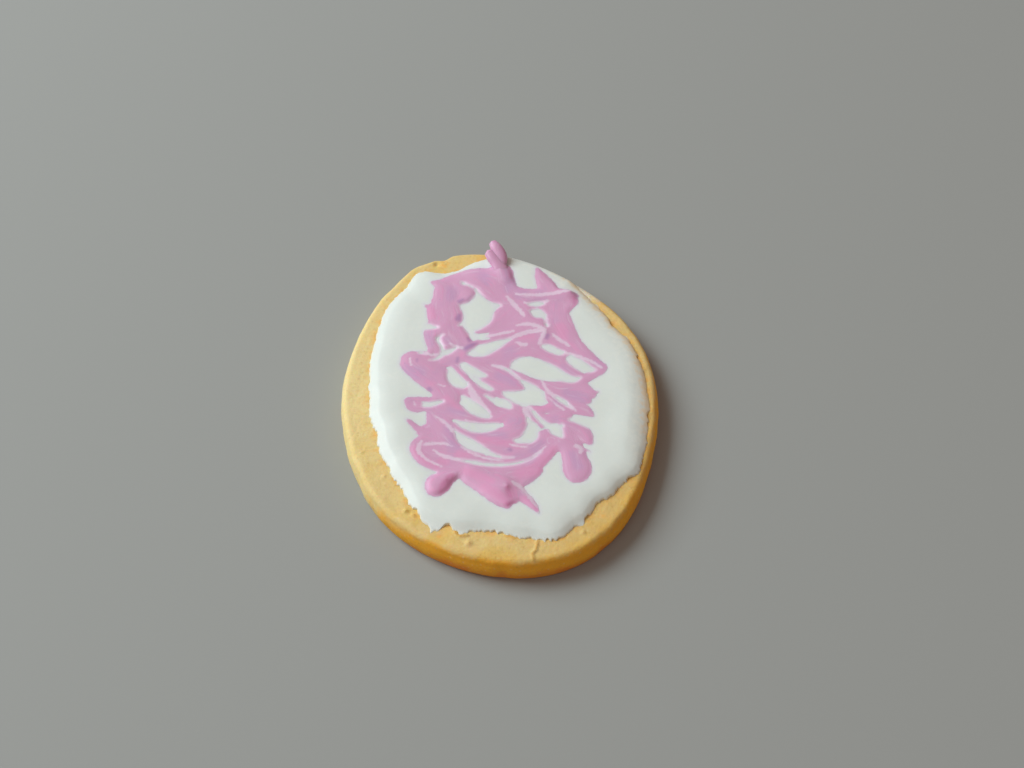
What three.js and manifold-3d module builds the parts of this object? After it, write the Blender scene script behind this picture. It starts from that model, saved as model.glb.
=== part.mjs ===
// An egg-shaped rolled sugar biscuit. A sheet of white icing has set on its top, and a mauve icing,
// laid on while the white was wet, was dragged through it and out over the far rim.
// Millimetres, +Z up, +Y towards the narrow far end. The origin is the middle of the underside.

import * as THREE from 'three';
import { mergeVertices } from 'three/addons/utils/BufferGeometryUtils.js';
import Module from 'manifold-3d';

// ---- driving dimensions, mm ----

const BISCUIT_THICKNESS = 5.5;
const BISCUIT_RADIUS = 35.3; // mean distance from the middle to the side
const TOP_EDGE_ROUND = 0.9;
const FOOT_ROUND = 0.7;
const SIDE_BULGE = 0.35;

const ICING_RADIUS = 31.4;
const ICING_THICKNESS = 1.5;
const ICING_KEPT_IN = 0.5; // the sheet stops this far within the biscuit's side
const ICING_RIM = 5; // width of the sheet's rim, over which it comes up to its thickness
const ICING_TOP = BISCUIT_THICKNESS + ICING_THICKNESS;
const FIT_GAP = 0.15; // air left between biscuit and icing

const MAUVE_RISE = 0.2; // how proud a plain mauve stroke stands
const MAUVE_SINK = 0.6; // how deep it sits in the white
const DRAG_DEPTH = 2.5; // reach of a white drag through the mauve, up and down

// Waves on an outline, each [waves in a turn, height in mm, direction of a crest in degrees].
// One wave shifts the shape, two make it longer than wide, and the rest are the hand's unevenness.
const BISCUIT_WAVES = [
  [1, 0.58, 315],
  [2, 3.9, 89.7],
  [3, 0.29, 115],
  [4, 0.81, 10],
  [5, 0.23, 15.7],
  [6, 0.2, 40],
];
const ICING_WAVES = [
  [1, 2.28, 17],
  [2, 3.99, 87.7],
  [3, 0.64, 100],
  [4, 0.23, 79],
  [5, 0.2, 7],
  [6, 0.46, 58],
  [7, 0.51, 20.2],
];

// Single bulges of an outline, each [direction and half width in degrees, height in mm], with a
// height of less than nothing for a dent or a bay.
const BISCUIT_BULGES = [
  [97, 3.5, -0.7], [117, 6, -0.25], [107, 6, 0.4], [262, 3, -0.12], [292, 4, -0.15], [205, 5, -0.12],
  [22, 4, -0.15],
];
const ICING_BULGES = [
  [25, 8, -0.5], [55, 8, 0.5], [75, 8, 0.6], [95, 10, -1.15], [107, 8, 2], [128, 8, -0.5], [150, 14, 1],
  [173, 10, -0.7], [200, 12, 0.85], [222, 12, -1.2], [230, 4, -0.6], [239, 4.5, 1.1], [245, 4, -1.6],
  [250, 6, 0.9], [261, 7, -0.6], [275, 6, 1.4], [282, 7, 1.5], [297, 8, -1.35], [310, 8, -0.9],
  [320, 9, 0.9], [345, 10, 0.2],
];

// The icing broke off in teeth where it was wiped thin on the crumb, most at the near left.
const TEETH_WAVES = [
  [43, 0.16, 1],
  [61, 0.14, 3],
];
const TEETH_DIRECTION = 262;
const TEETH_HALF_WIDTH = 120;
const TEETH_SHARE_ELSEWHERE = 0.25;

// The sheet was wiped thin along its right edge, and further in at the far right.
const FILM = { direction: 22, halfWidth: 72, width: 2.6, share: 0.5 };
const FAR_FILM = { direction: 60, halfWidth: 20, more: 3.2 };

const ROUND_STEPS = 3;
const BISCUIT_SEGMENTS = 96;
const ICING_SEGMENTS = 132;
const STROKE_SIDES = 8;
const DOME_POWER = 0.7; // under 1, a stroke's section is fuller than an ellipse
const END_OVERRUN = 0.7; // how far a stroke's end runs on past its path, in half widths
const STATIONS_PER_POINT = 2;

// Mauve strokes. A path is the line the icing took, each point [x, y, half width, lift off the sheet].
const MAUVE_STROKES = [
  { name: 'left column', rise: 0.4, path: [[-6.5, 31.6, 0.6], [-6, 29, 2.2], [-6.6, 26, 2.9],
    [-7.4, 22.5, 3.1], [-7.6, 19, 3.3], [-7.6, 15.5, 4.2], [-6.6, 12.8, 3]] },
  { name: 'far arc', rise: 0.3, path: [[-8, 30.4, 0.5], [-5, 30.6, 1.9], [-1.5, 31.4, 2],
    [2.5, 30, 3.2], [5.2, 27.8, 3.1], [6, 24.6, 2.4], [6.6, 21, 3.4], [8.4, 18.2, 3.4], [12.6, 16.6, 2.4]] },
  { name: 'far arc, inner fold', path: [[-3.4, 29.4, 1.1], [-2.6, 27.2, 1.9], [-2.6, 25.8, 0.7]] },
  { name: 'tail over the rim', rise: 1.1, path: [[5, 28.5, 1.4, -0.9], [5.6, 31.5, 1.5, -0.6],
    [6, 33.4, 1.3, -0.2], [6.1, 35, 1.2, 0.3], [6.4, 36.5, 1.2, 0.9], [6.6, 37.9, 1.15, 1.5]] },
  { name: 'tail, left lobe', rise: 1, path: [[5.9, 33, 0.9, -0.4], [5.2, 34.8, 1.1, 0.1],
    [4.6, 36.4, 0.95, 0.7]] },
  { name: 'band to the right peak', path: [[6.8, 25.6, 1.4], [10, 24.2, 2], [14, 23.6, 2],
    [18, 22.6, 2.1], [20, 22.2, 1.2]] },
  { name: 'horn', path: [[15.2, 22.5, 2.4], [15, 26, 2], [14, 29.4, 1], [13.8, 32, 0.15]] },
  { name: 'right arm', path: [[17, 22, 2.2], [16.4, 19, 2.1], [15.5, 15, 2.7], [16.4, 10.8, 2.3],
    [18.6, 7, 1.7], [20.7, 4, 1.5], [21.8, 2.4, 1]] },
  { name: 'middle streak', path: [[-3.4, 15.2, 0.6], [1, 15, 1.4], [6, 15, 1.6], [11, 15.2, 2.2],
    [14, 13.8, 1.6]] },
  { name: 'middle band', path: [[-5.8, 9.6, 0.9], [-2.5, 8.8, 1.5], [2, 9.2, 2.3], [7, 10.8, 2.6],
    [11.5, 12, 2]] },
  { name: 'divider', path: [[9, 9.6, 1.3], [12.2, 7, 1.3], [14.8, 4.3, 1.2], [16.8, 1.6, 0.8]] },
  { name: 'under the band', path: [[-4.5, 9.3, 0.8], [-0.8, 6.6, 2.1], [2.2, 3.6, 2.2],
    [4.6, 1.2, 1.3], [5.8, 0.2, 0.3]] },
  { name: 'right, lower arm', path: [[4.6, 3, 0.6], [8, 0.8, 1.2], [11.5, -1.6, 2.4],
    [15, -2, 2.7], [17.6, -3.4, 1.5], [19.6, -3.2, 0.3]] },
  { name: 'right, upper arm', path: [[14.4, 0.2, 0.8], [17.6, 0.4, 1], [20.4, 1.6, 1], [22.4, 2.4, 0.5]] },
  { name: 'west blob', rise: 0.35, path: [[-16.2, 11.3, 1.3], [-14.6, 10, 3.3], [-12, 7.2, 3.4],
    [-10, 3.4, 2.8], [-9.3, 0.2, 2.2]] },
  { name: 'west finger', path: [[-18, 0.9, 0.4], [-16, -0.6, 1.3], [-12.8, 0.8, 0.9]] },
  { name: 'spine', path: [[-7.2, 9.4, 0.8], [-5.9, 7, 0.5], [-4.9, 4.4, 0.7], [-3.4, 2.4, 0.8],
    [-1.4, -0.6, 0.8], [1.2, -4, 1.5]] },
  { name: 'spine, second line', path: [[-6.6, 2, 0.6], [-4.6, -0.4, 1.4], [-2.6, -3.2, 1.2],
    [-0.8, -5.6, 1]] },
  { name: 'core', path: [[-11, -1.4, 3], [-9.4, -2.8, 2.1], [-6.6, -5.3, 1.4], [-3, -6.6, 1.2],
    [1, -6.2, 1.6], [3.6, -7.4, 2.2]] },
  { name: 'core, left', path: [[-14, -3.2, 0.9], [-12.8, -6, 2.7], [-11.7, -9, 2.8],
    [-9.6, -12, 2.4], [-6, -14.4, 1.6]] },
  { name: 'inner bowl', path: [[-8.6, -7.6, 0.6], [-6.2, -10, 1.3], [-3, -10.8, 1.8], [0.6, -10.6, 2],
    [3.6, -8.6, 1.6]] },
  { name: 'middle bowl', path: [[-16.6, -10, 1.9], [-14, -12.6, 2.6], [-9.5, -14.4, 2.1],
    [-4, -15.2, 1.7], [1.5, -14.9, 2], [6.2, -12.4, 1.8], [7.4, -9, 1], [5.8, -5.4, 0.9]] },
  { name: 'outer bowl', path: [[-17.4, -11.6, 1.1], [-15.2, -14.6, 1.4], [-12.4, -17, 1.4],
    [-7.5, -18.4, 2], [-2.5, -20, 3.2], [3.5, -19, 2.4], [7.8, -16.6, 1.7], [10.5, -14, 1.2]] },
  { name: 'near drip', rise: 0.5, path: [[-6.5, -19, 3.6], [-4.4, -22.4, 2.8], [-2.8, -25.2, 2],
    [-2.4, -26.6, 0.9]] },
  { name: 'near drip, tail', rise: 0.35, path: [[-1.2, -22.4, 1.9], [0.6, -25.4, 1.3], [2.1, -28, 0.6],
    [2.8, -29.6, 0.1]] },
  { name: 'near drip, peak', rise: 0.5, path: [[-2.4, -19.2, 1.5, -0.2], [-1.8, -21, 1.3, 0.4],
    [-1.4, -22.3, 0.6, 0.9]] },
  { name: 'near left lump', rise: 1, path: [[-10, -17, 1, -0.8], [-12.6, -18.4, 1.5, -0.3],
    [-14.8, -20, 2.1, 0], [-15.4, -20.7, 1.6, 0]] },
  { name: 'right hook', path: [[5.6, -4.6, 1.2], [9, -5.8, 1.9], [13, -5.8, 2.3], [16.2, -7.5, 1.2],
    [17.6, -8.9, 0.2]] },
  { name: 'right dab', path: [[12, -8.8, 1.2], [12, -11, 1.7], [13.8, -12.4, 1.9], [16, -14.2, 1],
    [16.5, -15.2, 0.3]] },
  { name: 'near right drop', rise: 0.4, path: [[10.2, -14, 1.6], [11.8, -17, 2.2], [12.1, -20.4, 2.7],
    [11.5, -22.6, 1.5]] },
  { name: 'wing', path: [[-15.4, -8.2, 1], [-14.9, -6.6, 1.4], [-16.8, -5.4, 0.9], [-18.3, -3.8, 0.1]] },
  { name: 'right peak', rise: 0.6, path: [[17, 21.6, 1.5, -0.2], [18.8, 22.6, 1.3, 0.3],
    [19.8, 23.4, 0.6, 0.9]] },
  { name: 'middle peak', rise: 0.6, path: [[10.4, 15, 1.5, -0.2], [11.8, 14, 1.1, 0.2],
    [12.6, 13, 0.4, 0.6]] },
];

// White lines that the pick pulled through the mauve, each point [x, y, half width].
const WHITE_DRAGS = [
  { name: 'far window', path: [[-1.8, 30.3, 0.1], [-0.4, 28, 0.9], [0.6, 25.4, 1.9], [0.7, 22.6, 3.2],
    [0.2, 20.2, 2.8], [-1.2, 18.4, 1.7], [-3.2, 17.8, 0.5]] },
  { name: 'under the streak', path: [[-4.6, 11, 0.2], [-3, 10.9, 0.9], [-0.8, 11.2, 1.15],
    [1.3, 11.9, 0.95], [3.6, 12.8, 0.7], [8.5, 13.9, 0.25]] },
  { name: 'ladder, first', path: [[-5.9, 8.3, 0.25], [-4.8, 6.8, 0.95], [-3.2, 5.6, 0.95],
    [-0.9, 4.4, 0.3]] },
  { name: 'ladder, second', path: [[-8, 8.6, 0.1], [-8.2, 7, 0.55], [-8, 5.2, 1.2], [-6.9, 3.6, 1.15],
    [-5.9, 2.7, 0.5]] },
  { name: 'ladder, third', path: [[-3.9, 3.7, 0.15], [-2.6, 2.6, 0.5], [-0.3, 0.6, 0.45], [0.9, -0.3, 0.3]] },
  { name: 'ladder, fourth', path: [[-2.3, -0.3, 0.15], [-0.9, -1.5, 0.55], [0.5, -2.7, 0.85],
    [2.3, -4.3, 0.35]] },
  { name: 'core, upper', path: [[-6.8, 0.5, 0.15], [-6.4, -1.2, 0.85], [-5.6, -2.8, 1.35],
    [-4, -4.2, 1.25], [-1.7, -6.2, 0.35]] },
  { name: 'core, lower', path: [[-9.5, -5.3, 0.15], [-8, -6.5, 0.8], [-6, -7.6, 1.25], [-4, -8.3, 1.2],
    [-2, -8.2, 0.95], [0.7, -7.5, 0.1]] },
  { name: 'long left line', path: [[-11.5, -5.6, 0.18], [-9.2, -9.2, 0.6], [-8.2, -11.2, 1.1],
    [-6.5, -12.7, 0.75], [-2.8, -15.2, 0.2]] },
  { name: 'west inlet', path: [[-15.4, -0.6, 0.6], [-13, -0.6, 0.62], [-11, -0.5, 0.5], [-9.7, 0.1, 0.15]] },
  { name: 'right window', path: [[2.6, 6.2, 0.15], [4.5, 6.2, 0.9], [6.6, 6, 2.1], [9.6, 4, 2.1],
    [12.8, 1.9, 1.6], [14.8, 0.9, 1], [17.9, 0.3, 0.15]] },
  { name: 'right slit', path: [[10.4, 10, 0.5], [12, 9.2, 0.9], [13.9, 8, 0.9], [15.6, 6.2, 0.9],
    [16.9, 4.3, 1.2], [18.3, 2.9, 1.1], [20.5, 2.1, 0.25]] },
  { name: 'middle window', path: [[1, -0.8, 0.6], [3, -1.5, 1.2], [5.5, -2.4, 1.8], [7.4, -2.6, 1.5],
    [8.7, -3.8, 0.5]] },
  { name: 'bowl window', path: [[4.9, -7.3, 0.3], [5.4, -8.8, 0.7], [5.2, -10.5, 1.1], [4.2, -12, 1.1],
    [2.8, -12.6, 0.7], [0.6, -12.6, 0.15]] },
  { name: 'right bay', path: [[6.8, -8, 0.15], [8.2, -9.6, 0.7], [9.8, -10.8, 1.3], [10.9, -13.7, 0.2]] },
];

const wasm = await Module();
wasm.setup();

// ---- outlines ----

const radians = THREE.MathUtils.degToRad;

// Sum of an outline's waves in one direction: height times the cosine of the angle from a crest.
function waveSum(waves, direction) {
  return waves.reduce((sum, [count, height, crest]) => (
    sum + height * Math.cos(count * (direction - radians(crest)))
  ), 0);
}

// 1 in a given direction, falling smoothly to 0 a half width (degrees) to either side.
function bump(direction, centre, halfWidth) {
  const turn = direction - radians(centre);
  const away = Math.abs(Math.atan2(Math.sin(turn), Math.cos(turn)));
  const share = Math.min(away / radians(halfWidth), 1);
  return (1 + Math.cos(Math.PI * share)) / 2;
}

function bulgeSum(bulges, direction) {
  return bulges.reduce((sum, [centre, halfWidth, height]) => (
    sum + height * bump(direction, centre, halfWidth)
  ), 0);
}

function biscuitOutline(direction) {
  return BISCUIT_RADIUS + waveSum(BISCUIT_WAVES, direction) + bulgeSum(BISCUIT_BULGES, direction);
}

function icingOutline(direction) {
  const here = bump(direction, TEETH_DIRECTION, TEETH_HALF_WIDTH);
  const ragged = TEETH_SHARE_ELSEWHERE + (1 - TEETH_SHARE_ELSEWHERE) * here;
  const smooth = ICING_RADIUS + waveSum(ICING_WAVES, direction) + bulgeSum(ICING_BULGES, direction);
  return Math.min(smooth + ragged * waveSum(TEETH_WAVES, direction), biscuitOutline(direction) - ICING_KEPT_IN);
}

// ---- solids of revolution, fitted to an outline ----

// A quarter circle of the side, [inset from the outline, height], from one angle on for 90 degrees.
function quarterRound(from, round, height) {
  const points = [];
  for (let i = 0; i <= ROUND_STEPS; i += 1) {
    const angle = radians(from + 90 * (i / ROUND_STEPS));
    points.push([SIDE_BULGE + round * (1 - Math.cos(angle)), height + round * Math.sin(angle)]);
  }
  return points;
}

// The side runs from a rounded foot, over a slight bulge, to a rounded top edge.
function sideProfile(radius, top) {
  const side = [
    ...quarterRound(-90, FOOT_ROUND, FOOT_ROUND),
    [0, top / 2],
    ...quarterRound(0, TOP_EDGE_ROUND, top - TOP_EDGE_ROUND),
  ];
  return side.map(([inset, height]) => new THREE.Vector2(radius - inset, height));
}

// Turns a round lathe of the mean radius to +Z up and fits it to an outline. Within rimWidth of the
// side the section keeps its true size, and the middle stretches to meet it.
function fitToOutline(lathe, meanRadius, rimWidth, outline) {
  lathe.rotateX(Math.PI / 2);
  const position = lathe.attributes.position;
  for (let i = 0; i < position.count; i += 1) {
    const x = position.getX(i);
    const y = position.getY(i);
    const direction = Math.atan2(y, x);
    const radius = Math.hypot(x, y);
    const wanted = outline(direction);
    const core = meanRadius - rimWidth;
    const fitted = radius < core ? radius * (wanted - rimWidth) / core : radius + wanted - meanRadius;
    position.setXY(i, fitted * Math.cos(direction), fitted * Math.sin(direction));
  }
  return lathe;
}

// The biscuit's body, its side and top moved out by `grown`.
function biscuitGeometry(grown) {
  const top = BISCUIT_THICKNESS + grown;
  const outline = (direction) => biscuitOutline(direction) + grown;
  const profile = [new THREE.Vector2(0, 0), ...sideProfile(BISCUIT_RADIUS, top), new THREE.Vector2(0, top)];
  const lathe = new THREE.LatheGeometry(profile, BISCUIT_SEGMENTS);
  return fitToOutline(lathe, BISCUIT_RADIUS, TOP_EDGE_ROUND + SIDE_BULGE, outline);
}

// The sheet's edge stands up from its foot and comes in over its rim to the level of the middle. It
// starts below the biscuit's top, which is cleared from it later.
function sheetGeometry() {
  const foot = BISCUIT_THICKNESS - TOP_EDGE_ROUND;
  const section = [
    [ICING_RADIUS, foot],
    [0, foot],
    [0.08, BISCUIT_THICKNESS + FIT_GAP],
    [0.35, ICING_TOP - 1.1],
    [1, ICING_TOP - 0.78],
    [2.2, ICING_TOP - 0.42],
    [3.6, ICING_TOP - 0.15],
    [ICING_RIM, ICING_TOP],
    [ICING_RADIUS, ICING_TOP],
  ];
  const profile = section.map(([inset, height]) => new THREE.Vector2(ICING_RADIUS - inset, height));
  const lathe = new THREE.LatheGeometry(profile, ICING_SEGMENTS);
  return wipeEdge(fitToOutline(lathe, ICING_RADIUS, ICING_RIM, icingOutline));
}

// Takes the wiped share off the sheet's thickness at its right edge, and less further in.
function wipeEdge(sheet) {
  const position = sheet.attributes.position;
  for (let i = 0; i < position.count; i += 1) {
    const x = position.getX(i);
    const y = position.getY(i);
    const direction = Math.atan2(y, x);
    const inset = icingOutline(direction) - Math.hypot(x, y);
    const width = FILM.width + FAR_FILM.more * bump(direction, FAR_FILM.direction, FAR_FILM.halfWidth);
    const here = Math.min(1.6 * bump(direction, FILM.direction, FILM.halfWidth), 1);
    const wiped = FILM.share * here * (1 - THREE.MathUtils.smoothstep(inset, width / 5, width));
    const height = position.getZ(i) - BISCUIT_THICKNESS;
    if (height > 0) position.setZ(i, BISCUIT_THICKNESS + height * (1 - wiped));
  }
  return sheet;
}

// ---- strokes ----

// A ball drawn out along a stroke's path. Its section is a low dome with a flat underside, as wide as
// the path says, and each end is rounded as far as it is wide.
function strokeGeometry(path, rise, sink) {
  const points = path.map(([x, y, , lift = 0]) => new THREE.Vector3(x, y, lift));
  const widths = path.map(([, , halfWidth]) => halfWidth);
  const curve = new THREE.CatmullRomCurve3(points, false, 'centripetal');
  const stations = STATIONS_PER_POINT * (path.length - 1) + 2;
  const ball = new THREE.SphereGeometry(1, STROKE_SIDES, stations);
  const position = ball.attributes.position;
  for (let i = 0; i < position.count; i += 1) {
    const polar = Math.acos(THREE.MathUtils.clamp(position.getY(i), -1, 1));
    const station = Math.round(polar * stations / Math.PI);
    const ends = station === 0 || station === stations;
    const along = THREE.MathUtils.clamp((station - 1) / (stations - 2), 0, 1);
    const ring = ends ? 0 : 1 / Math.sin(polar);
    const across = position.getX(i) * ring;
    const up = position.getZ(i) * ring;
    const place = curve.getPoint(along);
    const heading = curve.getTangent(along).setZ(0).normalize();
    const at = along * (widths.length - 1);
    const before = Math.min(Math.floor(at), widths.length - 2);
    const halfWidth = THREE.MathUtils.lerp(widths[before], widths[before + 1], at - before);
    const overrun = ends ? END_OVERRUN * halfWidth * (station === 0 ? -1 : 1) : 0;
    const spread = halfWidth * Math.sign(across) * Math.abs(across) ** DOME_POWER;
    const height = up > 0 ? rise * up ** DOME_POWER : sink * up;
    position.setXYZ(
      i,
      place.x + overrun * heading.x - spread * heading.y,
      place.y + overrun * heading.y + spread * heading.x,
      ICING_TOP + place.z + height,
    );
  }
  return ball;
}

// ---- joining and cutting ----

function toSolid(geometry) {
  const bare = geometry.clone();
  bare.deleteAttribute('normal');
  bare.deleteAttribute('uv');
  const merged = mergeVertices(bare, 1e-4);
  const corners = merged.index.array;
  const triangles = [];
  for (let i = 0; i < corners.length; i += 3) {
    const [a, b, c] = [corners[i], corners[i + 1], corners[i + 2]];
    if (a !== b && b !== c && c !== a) triangles.push(a, b, c);
  }
  return new wasm.Manifold(new wasm.Mesh({
    numProp: 3,
    vertProperties: new Float32Array(merged.attributes.position.array),
    triVerts: new Uint32Array(triangles),
  }));
}

function toGeometry(solid) {
  const mesh = solid.getMesh();
  const geometry = new THREE.BufferGeometry();
  geometry.setAttribute('position', new THREE.BufferAttribute(new Float32Array(mesh.vertProperties), 3));
  geometry.setIndex(new THREE.BufferAttribute(new Uint32Array(mesh.triVerts), 1));
  geometry.computeVertexNormals();
  return geometry;
}

function joined(solids) {
  return solids.reduce((whole, solid) => whole.add(solid));
}

// ---- the two pieces ----

function biscuit() {
  const material = new THREE.MeshStandardMaterial({ color: 0xdfc288, roughness: 0.85, metalness: 0 });
  return new THREE.Mesh(toGeometry(toSolid(biscuitGeometry(0))), material);
}

// The sheet and the mauve strokes set as one, so they are one solid. The drags cut the mauve alone,
// down to the sheet, and the biscuit's top is cleared from underneath.
function icing() {
  const strokes = MAUVE_STROKES.map(({ path, rise = MAUVE_RISE }) => (
    toSolid(strokeGeometry(path, rise, MAUVE_SINK))
  ));
  const drags = WHITE_DRAGS.map(({ path }) => toSolid(strokeGeometry(path, DRAG_DEPTH, DRAG_DEPTH)));
  const mauve = joined(strokes).subtract(joined(drags));
  const whole = toSolid(sheetGeometry()).add(mauve).subtract(toSolid(biscuitGeometry(FIT_GAP)));
  const material = new THREE.MeshStandardMaterial({ color: 0xe6ebe6, roughness: 0.45, metalness: 0 });
  return new THREE.Mesh(toGeometry(whole), material);
}

const group = new THREE.Group();
const pieces = { biscuit: biscuit(), icing: icing() };
for (const [name, mesh] of Object.entries(pieces)) {
  mesh.name = name;
  group.add(mesh);
}

export default group;
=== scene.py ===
# An egg-shaped sugar biscuit with a sheet of white icing and a mauve swirl dragged through it.
# The shapes below are worked out in millimetres, +Z up and +Y towards the narrow far end, with the
# origin in the middle of the underside, and go into Blender in metres.

import bpy
import numpy as np
from mathutils import Matrix, Vector


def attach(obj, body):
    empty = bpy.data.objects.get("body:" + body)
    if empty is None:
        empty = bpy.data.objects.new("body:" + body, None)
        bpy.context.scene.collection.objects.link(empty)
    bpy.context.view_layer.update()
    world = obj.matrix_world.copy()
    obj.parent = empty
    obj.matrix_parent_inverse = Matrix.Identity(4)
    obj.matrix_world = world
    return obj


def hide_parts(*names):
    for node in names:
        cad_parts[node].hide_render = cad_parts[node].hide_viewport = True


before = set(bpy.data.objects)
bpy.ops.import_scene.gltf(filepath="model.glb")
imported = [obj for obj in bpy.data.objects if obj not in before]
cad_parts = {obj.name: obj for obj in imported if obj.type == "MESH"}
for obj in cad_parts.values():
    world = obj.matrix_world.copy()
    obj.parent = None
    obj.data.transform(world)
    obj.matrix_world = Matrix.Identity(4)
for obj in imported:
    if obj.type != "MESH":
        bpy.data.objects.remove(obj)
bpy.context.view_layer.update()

# ---- where it lies ----
# The biscuit lies alone on a plain pale grey table. One large soft window stands to the left and a
# little behind it, a weaker one stands at the near left, and the room gives back a weak even light.

MM = 0.001
FLOOR_CORNERS = [(-1500, -1500, 0), (1500, -1500, 0), (1500, 1500, 0), (-1500, 1500, 0)]
FLOOR_COLOUR = (0.333, 0.352, 0.345, 1)
FLOOR_ROUGHNESS = 0.9
ROOM_COLOUR = (1.0, 0.73, 0.6, 1)
ROOM_STRENGTH = 0.28
# Soft lights: side and distance in metres, compass angle from +X towards +Y, rise above the table,
# and power in watts.
LIGHTS = {
    "window": (0.82, 1.3, 146, 41, 17.2),
    "second_window": (1.35, 1.62, 236, 36, 2.4),
}
LIGHT_COLOUR = (0.905, 0.985, 1.0)
CAMERA_LENS = 60
CAMERA_AIM = (0, 0, 5.5)  # the middle of the biscuit's top
CAMERA_TURN = -10  # degrees to the side of the near end
CAMERA_RISE = 52
CAMERA_DISTANCE = 340.25
CAMERA_SLIDE = (3.08, 2.52)  # how far right and up the view's centre lies from the aim


def towards(compass, rise):
    """Unit vector with the given compass angle from +X and rise above the table, in degrees."""
    around, up = np.radians(compass), np.radians(rise)
    return np.array([np.cos(around) * np.cos(up), np.sin(around) * np.cos(up), np.sin(up)])


def placed(name, data):
    """A new object in the scene that holds the data."""
    thing = bpy.data.objects.new(name, data)
    bpy.context.collection.objects.link(thing)
    return thing


def wire(made, inputs):
    """Gives each named input of a shader node a value or a link."""
    for key, value in inputs.items():
        if isinstance(value, bpy.types.NodeSocket):
            made.id_data.links.new(value, made.inputs[key])
        else:
            made.inputs[key].default_value = value


def node(tree, kind, inputs=None, **settings):
    """Adds a shader node, makes its settings and wires its inputs."""
    made = tree.nodes.new(kind)
    for key, value in settings.items():
        setattr(made, key, value)
    wire(made, inputs or {})
    return made


def new_material(name):
    """An empty node material: its tree and its Principled shader, already wired to the output."""
    material = bpy.data.materials.new(name)
    material.use_nodes = True
    tree = material.node_tree
    tree.nodes.clear()
    shader = node(tree, "ShaderNodeBsdfPrincipled")
    node(tree, "ShaderNodeOutputMaterial", {"Surface": shader.outputs["BSDF"]})
    return material, tree, shader


def set_field(piece, name, values):
    """Gives a piece a float attribute with one value for each point of its mesh."""
    made = piece.data.attributes.new(name, "FLOAT", "POINT")
    made.data.foreach_set("value", values.astype(np.float32))


def new_piece(name, points, faces, material, fields=None):
    """A smooth-shaded mesh from points in millimetres, with one float attribute for each field."""
    mesh = bpy.data.meshes.new(name)
    mesh.from_pydata((points * MM).tolist(), [], faces)
    mesh.shade_smooth()
    mesh.materials.append(material)
    piece = placed(name, mesh)
    for field_name, values in (fields or {}).items():
        set_field(piece, field_name, values)
    return piece


table_material, _, table_shader = new_material("plain_grey_table")
wire(table_shader, {"Base Color": FLOOR_COLOUR, "Roughness": FLOOR_ROUGHNESS})
new_piece("table_top", np.array(FLOOR_CORNERS), [(0, 1, 2, 3)], table_material)

room = bpy.data.worlds.new("room")
room.use_nodes = True
wire(room.node_tree.nodes["Background"], {"Color": ROOM_COLOUR, "Strength": ROOM_STRENGTH})
bpy.context.scene.world = room

for light_name, (side, distance, compass, rise, power) in LIGHTS.items():
    light_data = bpy.data.lights.new(light_name, "AREA")
    light_data.size = side
    light_data.energy = power
    light_data.color = LIGHT_COLOUR
    light = placed(light_name, light_data)
    light.location = towards(compass, rise) * distance
    light.rotation_euler = Vector(light.location).to_track_quat("Z", "Y").to_euler()

camera_data = bpy.data.cameras.new("camera")
camera_data.lens = CAMERA_LENS
camera = placed("camera", camera_data)
view_back = towards(CAMERA_TURN - 90, CAMERA_RISE)
view_right = towards(CAMERA_TURN, 0)
view_up = np.cross(view_back, view_right)
view_middle = CAMERA_AIM + CAMERA_SLIDE[0] * view_right + CAMERA_SLIDE[1] * view_up
camera.location = (view_middle + CAMERA_DISTANCE * view_back) * MM
camera.rotation_euler = Matrix((view_right, view_up, view_back)).transposed().to_euler()
bpy.context.scene.camera = camera
bpy.context.scene.view_settings.view_transform = "Standard"

# ---- biscuit ----
# Rolled sugar dough, cut with an egg cutter and baked flat on a tray. It stays pale gold on top,
# colours deeper round the side, and browns at the foot where it met the hot tray.

BISCUIT_THICKNESS = 5.5
BISCUIT_RADIUS = 35.3
TOP_EDGE_ROUND = 1.3
FOOT_ROUND = 0.7
SIDE_BULGE = 0.35
RIM_KEPT = 12  # width of the rim whose section keeps its size; the middle stretches to meet it
RINGS = {"under": 12, "quarter_round": 8, "side": 12, "middle": 10}
RING_STEP = 0.28  # from ring to ring on the rim's top
UNDER_INSETS = (BISCUIT_RADIUS - 1, 1.5)  # of the underside's innermost and outermost ring
TOP_POLE_SUNK = 0.1
BISCUIT_SEGMENTS = 720

# Waves of the outline: waves in a turn, height, compass angle of a crest.
BISCUIT_WAVES = [
    (1, 0.58, 315), (2, 3.9, 89.7), (3, 0.29, 115), (4, 0.81, 10), (5, 0.23, 15.7), (6, 0.2, 40),
]
# Dents in the cut edge, and one bulge as a dent of less than nothing. Like every list of bulges here it
# holds compass angle, half width in degrees, and height or strength.
BISCUIT_DENTS = [
    (97, 3.5, 0.7), (117, 6, 0.25), (107, 6, -0.4), (262, 3, 0.12), (292, 4, 0.15), (205, 5, 0.12),
    (22, 4, 0.15),
]
# Small holes in the top, and two crumbs as holes of less than nothing: x, y, radius, depth.
PITS = [
    (-21.6, -24.0, 0.45, 0.5), (-20.3, -25.2, 0.35, 0.4), (-24.6, -15.4, 0.4, 0.25),
    (-11.0, -33.2, 0.55, 0.45), (10.6, -34.6, 0.4, 0.3), (-28.2, -9.0, 0.35, 0.2),
    (24.4, -27.0, 0.4, 0.25), (-6.5, 37.0, 0.6, -0.5), (-12.5, -31.0, 0.3, -0.25),
]
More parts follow.
